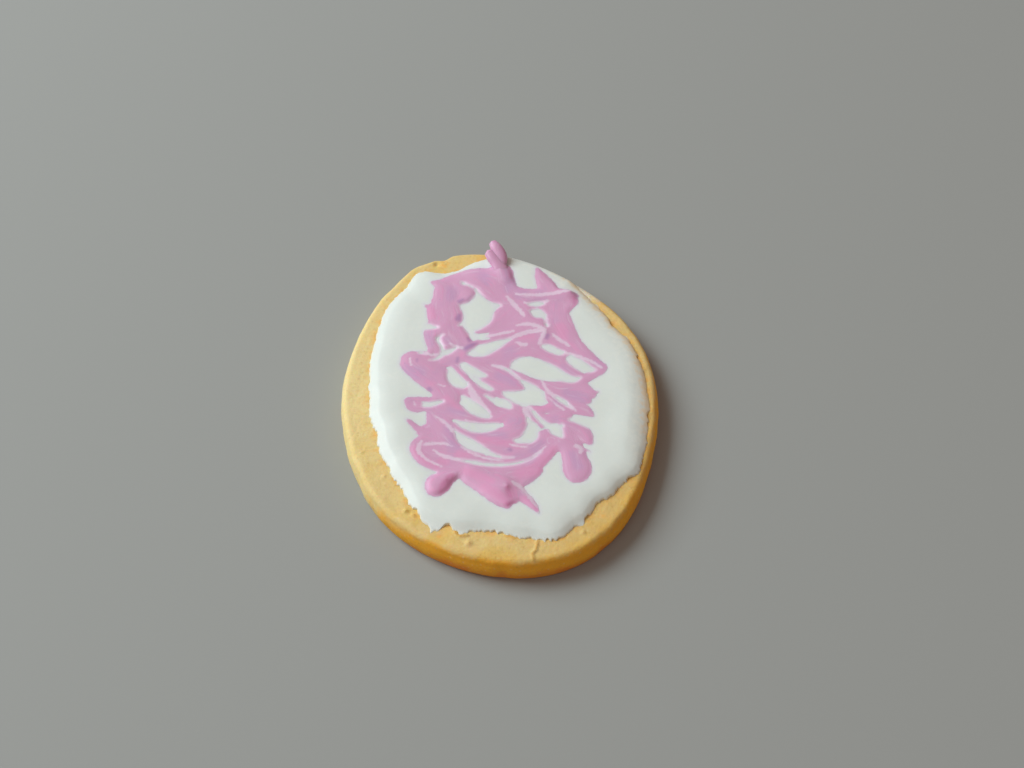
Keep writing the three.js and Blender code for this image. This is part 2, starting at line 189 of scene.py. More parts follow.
# Where the dough split as it was cut: the line, x and y, and each split's half width.
SPLITS = [
    [(1.8, -34.9, 0.25), (1.2, -36.8, 0.25), (0.2, -37.6, 0.3), (0.3, -39.0, 0.2)],
    [(-13.2, -30.3, 0.3), (-12.4, -31.4, 0.4), (-10.8, -31.5, 0.2)],
    [(-4.2, -32.8, 0.15), (-2.6, -33.4, 0.25), (-1.6, -33.6, 0.1)],
]
SPLIT_DEPTH = 0.4
# Brown painted into the splits as painted shade: its share, and the height it starts from.
SPLIT_SHADE_SHARE = 0.7
SPLIT_FROM = 0.7  # it is tinted from this share of the thickness up
# The skin's relief: size, depth, number of waves, seed. It comes up over the lowest millimetre.
CRUMB = (0.9, 0.05, 60, 1)
SWELLS = (5.0, 0.13, 30, 2)
RELIEF_RISE = 1.0

# How brown it baked: most at the foot, and nothing from this share of the thickness up.
BAKE = {"most": 1.25, "ends": 0.985, "power": 0.45, "at_foot_pole": 1.3}
# The sides facing the window, where the bake colour is lightened as painted light.
WINDOW_LIT_PALE_SIDES = [(184, 66, 1.6), (150, 105, 1.44)]
WINDOW_LIT_PALING = 0.8  # how much the bake colour is taken off the sides facing the window, as painted light
# Where the tints of these names lie. At the last one a film of icing went over the biscuit's edge.
TINTED_SIDES = {
    "near_right": [(325, 90, 0.85)],
    "far_left": [(160, 75, 0.8)],
    "far_side": [(110, 110, 0.75)],
    "near_edge": [(290, 75, 1)],
    "over_edge": [(57, 30, 1.5)],
}
NEAR_EDGE_WIDTH = 2.4

TOP_GOLD = (0.80, 0.62, 0.26, 1)
TOP_YELLOW = (0.79, 0.57, 0.17, 1)
TOP_BEIGE = (0.81, 0.58, 0.29, 1)
TOP_WARM = (0.69, 0.50, 0.19, 1)  # the near right, darker and warmer
TOP_PALE = (0.88, 0.74, 0.36, 1)  # the far left
EDGE_GOLD = (0.84, 0.50, 0.08, 1)  # the top's near edge
SIDE_GOLD = (0.98, 0.475, 0.035, 1)
SIDE_PALER = (0.84, 0.50, 0.17, 1)  # the far side
FOOT_BROWN = (0.88, 0.29, 0.035, 1)
# painted shade in the splits
SPLIT_SHADE_BROWN = (0.66, 0.32, 0.04, 1)
SEEP_ORANGE = (0.90, 0.50, 0.12, 1)
OVER_EDGE_FILM = (0.76, 0.73, 0.62, 1)
GRAIN_DARK = (0.45, 0.24, 0.05, 1)
GRAIN_PALE = (0.88, 0.74, 0.50, 1)
# Grains: cells to the metre, size as a share of a cell, and rarity.
DARK_GRAINS = (1100, 0.42, 0.8)
PALE_GRAINS = (1300, 0.45, 0.75)
# Its skin: relief in metres, shine, and how light goes into it, as weight, the reach of red, green and
# blue, and scale in metres.
CRUMB_SKIN = (0.00009, 0.3, 0.2, (1.0, 0.5, 0.2), 0.0008)


def wave_sum(waves, angle):
    """Each wave's height times the cosine of its count times the angle from its crest, added up."""
    return sum(height * np.cos(count * (angle - np.radians(crest))) for count, height, crest in waves)


def bulge_sum(bulges, angle):
    """Half a cosine wave for each bulge, added up: its height at the centre, falling to 0 a half width
    to either side."""
    total = 0
    for centre, half_width, height in bulges:
        turn = angle - np.radians(centre)
        away = np.abs(np.arctan2(np.sin(turn), np.cos(turn)))
        total = total + height * (1 + np.cos(np.pi * np.minimum(away / np.radians(half_width), 1))) / 2
    return total


def biscuit_outline(angle):
    """The mean radius, plus the waves, less the dents."""
    return BISCUIT_RADIUS + wave_sum(BISCUIT_WAVES, angle) - bulge_sum(BISCUIT_DENTS, angle)


def turned(radius, angle, height):
    """Points at a radius, a compass angle and a height."""
    return np.stack([radius * np.cos(angle), radius * np.sin(angle), height], -1)


def full_turn(count):
    """Evenly spaced angles round a full turn."""
    return np.linspace(0, 2 * np.pi, count, endpoint=False)


def ripples(points, length, count, seed):
    """Cosine waves added up, each running its own way through space. Their lengths lie from 0.7 to 1.4
    times the given one, and the sum is divided by the root of half their count, so it mostly lies
    between -2 and 2."""
    pick = np.random.default_rng(seed)
    heading = pick.normal(size=(count, 3))
    heading /= np.linalg.norm(heading, axis=1)[:, None]
    steps = heading * (2 * np.pi / (length * pick.uniform(0.7, 1.4, count)))[:, None]
    phase = pick.uniform(0, 2 * np.pi, count)
    return np.cos(points @ steps.T + phase).sum(axis=-1) / np.sqrt(count / 2)


def dimples(points, length, depth, count, seed):
    """Ripples brought to between 0 and 1 and held there, times a depth."""
    return depth * np.clip(0.5 + 0.3 * ripples(points, length, count, seed), 0, 1)


def stretches(stations, x, y):
    """For each straight stretch of a line in turn: the distance of every point from its middle, the half
    width there, the side that the point lies on, the length along to it, and the stretch's length."""
    for start, end in zip(stations[:-1], stations[1:]):
        run, widening = (end - start)[:2], (end - start)[2]
        length = np.hypot(*run) + 1e-9
        away_x, away_y = x - start[0], y - start[1]
        share = np.clip((away_x * run[0] + away_y * run[1]) / length**2, 0, 1)
        from_line = np.hypot(away_x - share * run[0], away_y - share * run[1])
        side = np.sign(away_y * run[0] - away_x * run[1])
        yield from_line, start[2] + share * widening, side, share * length, length


def line_depth(line, x, y):
    """How deep a point lies in a drawn line, 1 on its middle and 0 at its half width and beyond: one
    less the distance to the nearest stretch, over the half width there."""
    depths = [1 - from_line / half for from_line, half, *_ in stretches(np.array(line), x, y)]
    return np.clip(np.max(depths, axis=0), 0, 1)


def fit_rings(insets, outline, mean_radius):
    """Radius of every ring in every direction: the outline less the ring's inset within the kept rim,
    and further in the same share of the way to the middle as on a round one of the mean radius."""
    insets = insets[:, None]
    inner = (outline - RIM_KEPT) * (mean_radius - insets) / (mean_radius - RIM_KEPT)
    return np.where(insets <= RIM_KEPT, outline - insets, np.maximum(inner, 0))


def turned_faces(rings, segments):
    """Quads between neighbouring rings, and a fan from the first and the last ring to their poles.
    The poles are the last two points. The rings run from the underside out and up to the top."""
    here = np.arange(segments)
    beside = np.roll(here, -1)
    start = (np.arange(rings - 1) * segments)[:, None]
    corners = [start + here, start + beside, start + beside + segments, start + here + segments]
    low_pole, top = rings * segments, (rings - 1) * segments
    low_fan = np.stack([np.full(segments, low_pole), beside, here], -1)
    high_fan = np.stack([np.full(segments, low_pole + 1), top + here, top + beside], -1)
    return np.stack(corners, -1).reshape(-1, 4).tolist() + low_fan.tolist() + high_fan.tolist()


def with_poles(fields, **at_poles):
    """The fields with a value added for each of the two poles, which is 0 where none is given."""
    return {name: np.append(values, at_poles.get(name, (0, 0))) for name, values in fields.items()}


def biscuit_section():
    """Inset and height of each ring, from the underside round the foot, side and top edge. The foot and
    the edge are quarter circles and the side is a parabola."""
    quarter = np.radians(np.linspace(0, 90, RINGS["quarter_round"]))
    under = [np.linspace(*UNDER_INSETS, RINGS["under"]), np.zeros(RINGS["under"])]
    foot = [SIDE_BULGE + FOOT_ROUND * (1 - np.sin(quarter)), FOOT_ROUND * (1 - np.cos(quarter))]
    shoulder = BISCUIT_THICKNESS - TOP_EDGE_ROUND
    rise = np.linspace(FOOT_ROUND, shoulder, RINGS["side"])[1:-1]
    belly = 2 * (rise - FOOT_ROUND) / (shoulder - FOOT_ROUND) - 1
    side = [SIDE_BULGE * belly**2, rise]
    edge = [SIDE_BULGE + TOP_EDGE_ROUND * (1 - np.cos(quarter)), shoulder + TOP_EDGE_ROUND * np.sin(quarter)]
    rim = np.arange(SIDE_BULGE + TOP_EDGE_ROUND + RING_STEP, RIM_KEPT, RING_STEP)
    top = np.append(rim, np.linspace(RIM_KEPT, UNDER_INSETS[0], RINGS["middle"]))
    return np.hstack([under, foot, side, edge, [top, np.full(len(top), BISCUIT_THICKNESS)]]).T


def field(tree, name):
    """One of the piece's own attributes."""
    return node(tree, "ShaderNodeAttribute", attribute_name=name).outputs["Fac"]


def noise(place, scale, detail=3.0, rough=0.55):
    """Fractal noise over a place, from about 0.25 to 0.75, `scale` times to the metre."""
    inputs = {"Vector": place, "Scale": scale, "Detail": detail, "Roughness": rough}
    return node(place.id_data, "ShaderNodeTexNoise", inputs).outputs["Fac"]


def ranged(value, start, full, most=1.0, least=0.0):
    """Rises smoothly from `least` where the value is at `start` to `most` where it is at `full`, and is
    held beyond both."""
    inputs = {"Value": value, "From Min": start, "From Max": full, "To Min": least, "To Max": most}
    made = node(value.id_data, "ShaderNodeMapRange", inputs, interpolation_type="SMOOTHSTEP")
    return made.outputs["Result"]


def maths(operation, first, second):
    """One step of arithmetic on a pattern."""
    return node(first.id_data, "ShaderNodeMath", {0: first, 1: second}, operation=operation).outputs["Value"]


def times(first, second):
    return maths("MULTIPLY", first, second)


def plus(first, second):
    return maths("ADD", first, second)


def frayed(value, pattern, most):
    """The value, taken up and down by a noise pattern as far as `most`."""
    return plus(value, ranged(pattern, 0.3, 0.7, most, -most))


def layered(colour, layers):
    """The colour, with others laid over it one after another, each by its share from 0 to 1."""
    for share, over in layers:
        made = node(share.id_data, "ShaderNodeMix", {0: share, 6: colour, 7: over}, data_type="RGBA")
        colour = made.outputs[2]
    return colour


def speckle_group():
    """Sparse round grains: the middle of each cell of a Voronoi pattern, where the cell's own chance is
    higher than the rarity. Out comes their mask."""
    group = bpy.data.node_groups.new("sparse_grains", "ShaderNodeTree")
    for name, way, kind in (
        ("Place", "INPUT", "Vector"), ("Cells", "INPUT", "Float"), ("Size", "INPUT", "Float"),
        ("Rarity", "INPUT", "Float"), ("Mask", "OUTPUT", "Float"),
    ):
        group.interface.new_socket(name, in_out=way, socket_type="NodeSocket" + kind)
    ins = node(group, "NodeGroupInput").outputs
    cells = node(group, "ShaderNodeTexVoronoi", {"Vector": ins["Place"], "Scale": ins["Cells"]})
    dot = ranged(cells.outputs["Distance"], ins["Size"], 0.0)
    chance = node(group, "ShaderNodeSeparateColor", {"Color": cells.outputs["Color"]})
    chosen = maths("GREATER_THAN", chance.outputs["Red"], ins["Rarity"])
    node(group, "NodeGroupOutput", {"Mask": times(dot, chosen)})
    return group


def grain_mask(place, cells, size, rarity):
    """The mask of one kind of grain."""
    inputs = {"Place": place, "Cells": cells, "Size": size, "Rarity": rarity}
    return node(place.id_data, "ShaderNodeGroup", inputs, node_tree=grains).outputs["Mask"]


def finish(shader, colour, roughness, height, skin):
    """Wires a colour, a roughness and a pattern of heights, and sets the skin's relief, how strongly it
    shines, and how light goes into it."""
    relief, shine, weight, reach, scale = skin
    normal = node(shader.id_data, "ShaderNodeBump", {"Height": height, "Distance": relief})
    wire(shader, {
        "Base Color": colour, "Roughness": roughness, "Normal": normal.outputs["Normal"],
        "Specular IOR Level": shine, "Subsurface Weight": weight, "Subsurface Radius": reach,
        "Subsurface Scale": scale,
    })


def baked_crumb():
    """Pale gold with yellow and beige patches and fine grains, going to deep gold and brown with the
    baking, and to orange where the icing's syrup soaked in. The sides facing the window get less of
    the bake colour, as painted light, and the splits are tinted brown as painted shade. Each tint names
    where on its pattern it starts and is full, and its greatest share."""
    material, tree, shader = new_material("baked_crumb")
    place = node(tree, "ShaderNodeTexCoord").outputs["Object"]
    patches = noise(place, 230)
    blotches = noise(place, 520, 4)
    fine = noise(place, 1900, 5, 0.65)
    # the bake field also carries painted light: it is weaker on the sides facing the window
    bake = frayed(field(tree, "bake"), patches, 0.12)
    side = layered(SIDE_GOLD, [(ranged(bake, 0.8, 1.2), FOOT_BROWN), (field(tree, "far_side"), SIDE_PALER)])
    smear = plus(field(tree, "over_edge"), ranged(blotches, 0.35, 0.65, 0.15, -0.25))
    colour = layered(TOP_GOLD, [
        (ranged(patches, 0.47, 0.68, 0.8), TOP_YELLOW),
        (ranged(blotches, 0.52, 0.75, 0.7), TOP_BEIGE),
        (field(tree, "near_right"), TOP_WARM),
        (field(tree, "far_left"), TOP_PALE),
        (times(field(tree, "near_edge"), ranged(patches, 0.35, 0.6, 1.0, 0.5)), EDGE_GOLD),
        (ranged(bake, 0.12, 0.62), side),
        (times(field(tree, "seep"), ranged(blotches, 0.4, 0.62, 0.8, 0.1)), SEEP_ORANGE),
        # painted shade in the splits
        (field(tree, "split"), SPLIT_SHADE_BROWN),
        (ranged(smear, 0.3, 0.9, 0.9), OVER_EDGE_FILM),
        (times(grain_mask(place, *DARK_GRAINS), 0.24), GRAIN_DARK),
        (times(grain_mask(place, *PALE_GRAINS), 0.25), GRAIN_PALE),
        (ranged(fine, 0.6, 0.35, 0.12), GRAIN_DARK),
    ])
    height = plus(fine, times(blotches, 0.8))
    finish(shader, colour, ranged(fine, 0.3, 0.7, 0.85, 0.62), height, CRUMB_SKIN)
    return material


def build_biscuit():
    """The section carried round the outline, its skin sunk by coarse swells, crumb, pits and splits.
    Gives the piece and its points."""
    angle = full_turn(BISCUIT_SEGMENTS)
    section = biscuit_section()
    along = np.gradient(section, axis=0)
    along /= np.linalg.norm(along, axis=1)[:, None]
    turn = np.tile(angle, len(section))
    level, out, up = np.repeat([section[:, 1], along[:, 1], -along[:, 0]], BISCUIT_SEGMENTS, axis=1)
    radius = fit_rings(section[:, 0], biscuit_outline(angle), BISCUIT_RADIUS).ravel()
    points = turned(radius, turn, level)
    x, y, z = points.T
    sunk = dimples(points, *CRUMB) + dimples(points, *SWELLS)
    sunk += sum(depth * np.exp(-((x - px) ** 2 + (y - py) ** 2) / size**2) for px, py, size, depth in PITS)
    split = np.clip(sum(line_depth(line, x, y) for line in SPLITS), 0, 1)
    sunk = (sunk + SPLIT_DEPTH * split) * np.clip(z / RELIEF_RISE, 0, 1)
    points = points - turned(out, turn, up) * sunk[:, None]
    height = points[:, 2] / BISCUIT_THICKNESS
    # painted light: the sides facing the window get less of the bake colour
    paler = np.clip(np.max([bulge_sum([side], turn) for side in WINDOW_LIT_PALE_SIDES], axis=0), 0, 1)
    unbaked = np.clip(level / BISCUIT_THICKNESS / BAKE["ends"], 0, 1)
    rim_inset = biscuit_outline(turn) - np.hypot(points[:, 0], points[:, 1])
    fields = {name: bulge_sum(sides, turn) for name, sides in TINTED_SIDES.items()}
    fields["near_edge"] *= np.exp(-((rim_inset / NEAR_EDGE_WIDTH) ** 2))
    fields["over_edge"] *= np.clip(3 * height - 2, 0, 1)  # fades out over the uppermost third
    # painted shade in the splits, on the upper part only
    fields["split"] = SPLIT_SHADE_SHARE * split * (height > SPLIT_FROM)
    # real baking, weakened on the sides facing the window as painted light
    fields["bake"] = BAKE["most"] * (1 - unbaked) ** BAKE["power"] * (1 - WINDOW_LIT_PALING * paler)
    fields = with_poles(fields, bake=(BAKE["at_foot_pole"], 0))
    points = np.vstack([points, [[0, 0, 0], [0, 0, BISCUIT_THICKNESS - TOP_POLE_SUNK]]])
    faces = turned_faces(len(section), BISCUIT_SEGMENTS)
    return new_piece("biscuit_body", points, faces, baked_crumb(), fields), points


grains = speckle_group()
biscuit_body, biscuit_points = build_biscuit()
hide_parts("biscuit")
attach(biscuit_body, "root")

# ---- white icing ----
# Sugar icing spread on as a sheet while wet. It drew up into a soft lip along its edge, broke into
# small teeth on the crumb at the near left, and was wiped thin over the edge at the far right.

ICING_RADIUS = 31.4
ICING_SEGMENTS = 1440
ICING_KEPT_IN = 0.5  # the sheet stops this far within the biscuit's side
ICING_FOOT_SUNK = 0.12  # how far its underside sits in the biscuit's crumb
# Insets of its rings: out along the underside, then in again over the rim, closer together towards the
# edge, and over the middle.
ICING_UNDER_INSETS = [25, 15, 8, 4, 2, 0.9, 0.35]
ICING_RIM_INSETS = RIM_KEPT * np.linspace(0, 1, 40) ** 2
ICING_MIDDLE_INSETS = np.linspace(13.2, ICING_RADIUS - 0.8, 13)
ICING_WAVES = [
    (1, 2.28, 17), (2, 3.99, 87.7), (3, 0.64, 100), (4, 0.23, 79), (5, 0.2, 7), (6, 0.46, 58),
    (7, 0.51, 20.2),
]
# Broad bulges and bays of the edge, which the whole rim follows.
ICING_BULGES = [
    (25, 8, -0.5), (55, 8, 0.5), (75, 8, 0.6), (95, 10, -1.15), (107, 8, 2.0), (128, 8, 0.05),
    (138, 8, 0.35), (150, 14, 1.0), (173, 10, -0.7), (200, 12, 0.85), (222, 12, -1.2), (258, 14, -1.0),
    (279, 8, 1.5), (297, 8, -1.2), (308, 6, -0.15), (317, 10, 1.3), (327, 6, 0.45), (345, 10, 0.2),
]
# Narrow ones, which die away within their reach of the edge.
ICING_NICKS = [
    (231, 3.5, -0.5), (236, 2.4, 0.5), (239.6, 3.6, 1.8), (243.7, 2.6, -1.1), (248.5, 3, 1.2),
    (269, 2, 0.5), (274, 3, 0.8), (28, 3, -0.6), (19, 3, 0.5), (8.6, 2, -0.6), (39, 3, 0.6),
    (-19, 3, -0.5), (288, 2, 0.5),
]
NICK_REACH = 1.4
# Teeth of the edge: the height of the greatest, the share of it that they have everywhere, and more at
# the near left. They are lobes, set out by a share of their height, with smaller notches, each length,
# number of waves and seed, and die away within their reach.
TEETH = {"height": 0.3, "everywhere": 0.5, "set_out": 0.6, "notches": 0.3, "reach": 0.55}
MORE_TEETH = [(262, 95, 0.5)]
TOOTH_LOBES = (2.08, 24, 4)
TOOTH_NOTCHES = (0.65, 24, 5)
# The sheet's thickness by the inset from its smooth outline. Beyond that outline, in lobes and teeth, it
# goes on thin.
ICING_SECTION = [
    (-3.0, 0.14), (-1.0, 0.18), (-0.2, 0.25), (0.4, 0.45), (1.0, 0.71), (1.8, 1.01), (2.8, 1.22),
    (4.0, 1.39), (5.4, 1.49), (7.0, 1.54), (12.0, 1.5),
]
LIP = 0.35  # its ragged edge is rounded over this width
# The near right and the right, where the rim is steeper, and how much.
FULL_RIMS = [(314, 48, 0.6), (20, 60, 1.8)]
# Low ridges where the sheet drew up behind its rim: as a bulge, and the ridge's inset and spread.
RIDGES = [((186, 80, 0.32), 2.8, 5.2), ((350, 70, 0.16), 5.4, 3.0)]
# The wiped margin on the right: where, how wide it is there, how much wider at the far right, how it
# falls off over that width, and the share of the thickness that was wiped off.
WIPED_SIDE = [(15, 70, 2)]
WIPED = {"width": 4.4, "power": 1.5, "share": 0.4}
WIPED_WIDER = [(60, 20, 1.0)]
FAR_RIGHT = [(65, 20, 1)]
SHEET_SWELLS = (0.03, (9.0, 24, 3))  # low swells: height, then length, number of waves and seed
# Where the biscuit soaked up syrup: round the icing's edge, as far as the reach, and in spots, each x,
# y and radius, where it is stronger.
SEEP_REACH = 0.9
SEEP_FROM = 4.4  # height from which the crumb counts as top
SEEP_SPOTS = [
    (-4.8, 36.5, 1.1), (25.2, 20.2, 1.3), (-14.4, -28.6, 1.0), (-16, -31, 0.8), (14.8, -31.2, 0.8),
]
SPOT_STRENGTH = 1.3

ICING_WHITE = (0.750, 0.818, 0.790, 1)
# Lighter than the white: painted light on the wiped margin's slope, which faces away from the window.
ICING_SLOPE_PAINTED_LIGHT = (0.82, 0.87, 0.82, 1)
ICING_CREAM = (0.89, 0.77, 0.57, 1)
# Yellowed along the very edge, and made lighter there as painted light against the lip's shadow.
ICING_EDGE = (0.84, 0.69, 0.42, 1)
# Grey of the thin film at the far right, and painted shade where the sheet falls to it.
FAR_FILM_GREY_AND_SHADE = (0.64, 0.64, 0.56, 1)
ICING_SOAKED = (0.84, 0.64, 0.30, 1)  # where the crumb shows through the thinnest film
ICING_BLUSH = (0.76, 0.77, 0.85, 1)  # next to the mauve
ICING_SKIN = (0.00006, 0.35, 0.35, (1.0, 0.9, 0.85), 0.0009)


def icing_edge(angle):
    """The sheet's smooth outline: mean radius, waves and broad bulges, held inside the biscuit's edge."""
    free = ICING_RADIUS + wave_sum(ICING_WAVES, angle) + bulge_sum(ICING_BULGES, angle)
    return np.minimum(free, biscuit_outline(angle) - ICING_KEPT_IN)


def biscuit_top(x, y):
    """Height of the biscuit's top: flat, then a quarter circle down within the edge's rounding."""
    inset = biscuit_outline(np.arctan2(y, x)) - np.hypot(x, y) - SIDE_BULGE
    drop = np.clip(1 - inset / TOP_EDGE_ROUND, 0, 1)
    return BISCUIT_THICKNESS - TOP_EDGE_ROUND * (1 - np.sqrt(1 - drop**2))


def smooth_line(points, per_span):
    """Catmull-Rom: between two neighbouring points, the cubic blend of the four nearest ones."""
    known = np.array(points, float)
    padded = np.vstack([2 * known[0] - known[1], known, 2 * known[-1] - known[-2]])
    share = np.tile(np.linspace(0, 1, per_span, endpoint=False), len(known) - 1)
    first = np.repeat(np.arange(len(known) - 1), per_span)
    share, first = np.append(share, 1.0), np.append(first, len(known) - 2)
    a, b, c, d = (padded[first + step] for step in range(4))
    t = share[:, None]
    return 0.5 * (2 * b + (c - a) * t + (2 * a - 5 * b + 4 * c - d) * t**2 + (3 * b - a - 3 * c + d) * t**3)


def level_ripples(x, y, length, count, seed):
    """Ripples over places on the level."""
    return ripples(np.stack([x, y, np.zeros_like(x)], -1), length, count, seed)


def sheet_relief(x, y, inset):
    """What rides on the sheet's section: each ridge, a bell in the inset from the edge, and low swells,
    both coming up from nothing over the outer two millimetres."""
    angle = np.arctan2(y, x)
    relief = SHEET_SWELLS[0] * level_ripples(x, y, *SHEET_SWELLS[1])
    for bulge, stands, spread in RIDGES:
        relief = relief + bulge_sum([bulge], angle) * np.exp(-(((inset - stands) / spread) ** 2))
    return relief * np.clip(inset / 2, 0, 1)


def film_share(angle, inset):
    """How far the sheet is wiped thin: wholly at its edge, and not at all beyond the margin's width.
    Between them it is a power of the share of the width that is left."""
    width = WIPED["width"] + bulge_sum(WIPED_WIDER, angle)
    left = 1 - np.clip(inset / width, 0, 1)
    return np.clip(bulge_sum(WIPED_SIDE, angle), 0, 1) * left ** WIPED["power"]


icing_line = smooth_line(ICING_SECTION, 4)


def sheet_top(x, y):
    """Height of the white sheet: the biscuit's top, plus the section's thickness by the inset and the
    relief, less the share of both that was wiped off."""
    angle = np.arctan2(y, x)
    inset = icing_edge(angle) - np.hypot(x, y)
    steeper = 1 + bulge_sum(FULL_RIMS, angle)
    thickness = np.interp(inset * steeper, icing_line[:, 0], icing_line[:, 1]) + sheet_relief(x, y, inset)
    return biscuit_top(x, y) + thickness * (1 - WIPED["share"] * film_share(angle, inset))


def white_sugar():
    """White, lightened as painted light on the wiped margin's slope, cream where the wiped margin is thin
    over the crumb, grey at the far right from a thin film and painted shade, yellowed along the very
    edge and lightened there as painted light, and blushed next to the mauve."""
    material, tree, shader = new_material("white_sugar_icing")
    place = node(tree, "ShaderNodeTexCoord").outputs["Object"]
    cloud = noise(place, 140)
    ragged = noise(place, 900, 4)
    wiped = frayed(field(tree, "wiped"), ragged, 0.17)
    inset = frayed(field(tree, "inset"), ragged, 0.15)
    # the far right's grey film, partly painted shade on the slope down to it
    grey = times(ranged(field(tree, "wiped"), 0.3, 0.8, 0.5), field(tree, "far_right"))
    colour = layered(ICING_WHITE, [
        # painted light on the wiped margin's slope
        (ranged(wiped, 0.0, 0.5), ICING_SLOPE_PAINTED_LIGHT),
        (ranged(wiped, 0.38, 0.78, 0.9), ICING_CREAM),
        (grey, FAR_FILM_GREY_AND_SHADE),
        (ranged(wiped, 0.82, 1.1, 0.85), ICING_SOAKED),
        # yellowed edge, partly painted light against the lip's shadow
        (ranged(inset, 0.4, 0.0, 0.35), ICING_EDGE),
        (ranged(field(tree, "swirl_distance"), 0.9, -0.1, 0.6), ICING_BLUSH),
    ])
    height = plus(times(noise(place, 2600), 0.2), cloud)
    finish(shader, colour, ranged(cloud, 0.35, 0.65, 0.52, 0.42), height, ICING_SKIN)
    return material


def build_white_icing():
    """The section carried round the ragged edge, over an underside that follows the biscuit's top.
    Gives the piece and its points."""
    angle = full_turn(ICING_SEGMENTS)
    smooth = icing_edge(angle)
    rim = turned(smooth, angle, np.zeros_like(angle))
    teeth = TEETH["set_out"] - np.abs(ripples(rim, *TOOTH_LOBES))
    teeth += TEETH["notches"] * ripples(rim, *TOOTH_NOTCHES)
    teeth *= TEETH["height"] * (TEETH["everywhere"] + bulge_sum(MORE_TEETH, angle))
    inset = np.concatenate([ICING_UNDER_INSETS, ICING_RIM_INSETS, ICING_MIDDLE_INSETS])
    radius = fit_rings(inset, smooth, ICING_RADIUS)
    radius += bulge_sum(ICING_NICKS, angle) * np.exp(-inset / NICK_REACH)[:, None]
    radius += teeth * np.exp(-inset / TEETH["reach"])[:, None]
    radius = np.minimum(radius, biscuit_outline(angle) - ICING_KEPT_IN).ravel()
    turn = np.tile(angle, len(inset))
    inset = np.repeat(inset, ICING_SEGMENTS)
    x, y = radius * np.cos(turn), radius * np.sin(turn)
    crumb = biscuit_top(x, y)
    lip = np.sqrt(1 - (1 - np.clip(inset / LIP, 0, 1)) ** 2)
    is_under = np.arange(len(inset)) < len(ICING_UNDER_INSETS) * ICING_SEGMENTS
    z = crumb + np.where(is_under, -ICING_FOOT_SUNK, lip * (sheet_top(x, y) - crumb))
    poles = [[0, 0, BISCUIT_THICKNESS - ICING_FOOT_SUNK], [0, 0, sheet_top(np.zeros(1), np.zeros(1))[0]]]
    points = np.vstack([np.stack([x, y, z], 1), poles])
    fields = {"wiped": film_share(turn, inset), "far_right": bulge_sum(FAR_RIGHT, turn), "inset": inset}
    fields = with_poles(fields, inset=(ICING_RADIUS, ICING_RADIUS))
    faces = turned_faces(len(inset) // ICING_SEGMENTS, ICING_SEGMENTS)
    return new_piece("white_icing", points, faces, white_sugar(), fields), points


def soaked_crumb(x, y, z):
    """How much syrup the biscuit's top took up: it dies away from the icing's edge, and in a bell round
    each spot."""
    near_icing = np.abs(np.hypot(x, y) - icing_edge(np.arctan2(y, x)))
    seep = np.exp(-near_icing / SEEP_REACH) * (z > SEEP_FROM)
    for spot_x, spot_y, radius in SEEP_SPOTS:
        away = np.hypot(x - spot_x, y - spot_y)
        seep = np.maximum(seep, SPOT_STRENGTH * np.exp(-((away / radius) ** 2)))
    return seep


set_field(biscuit_body, "seep", soaked_crumb(*biscuit_points.T))
white_icing, white_points = build_white_icing()
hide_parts("icing")
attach(white_icing, "root")

# ---- mauve icing ----
# The same icing tinted mauve, laid on the wet white in loops and dragged through it with a pick, so
# thin white lines run into it. Both set as one sheet. A last pull went out over the far edge.

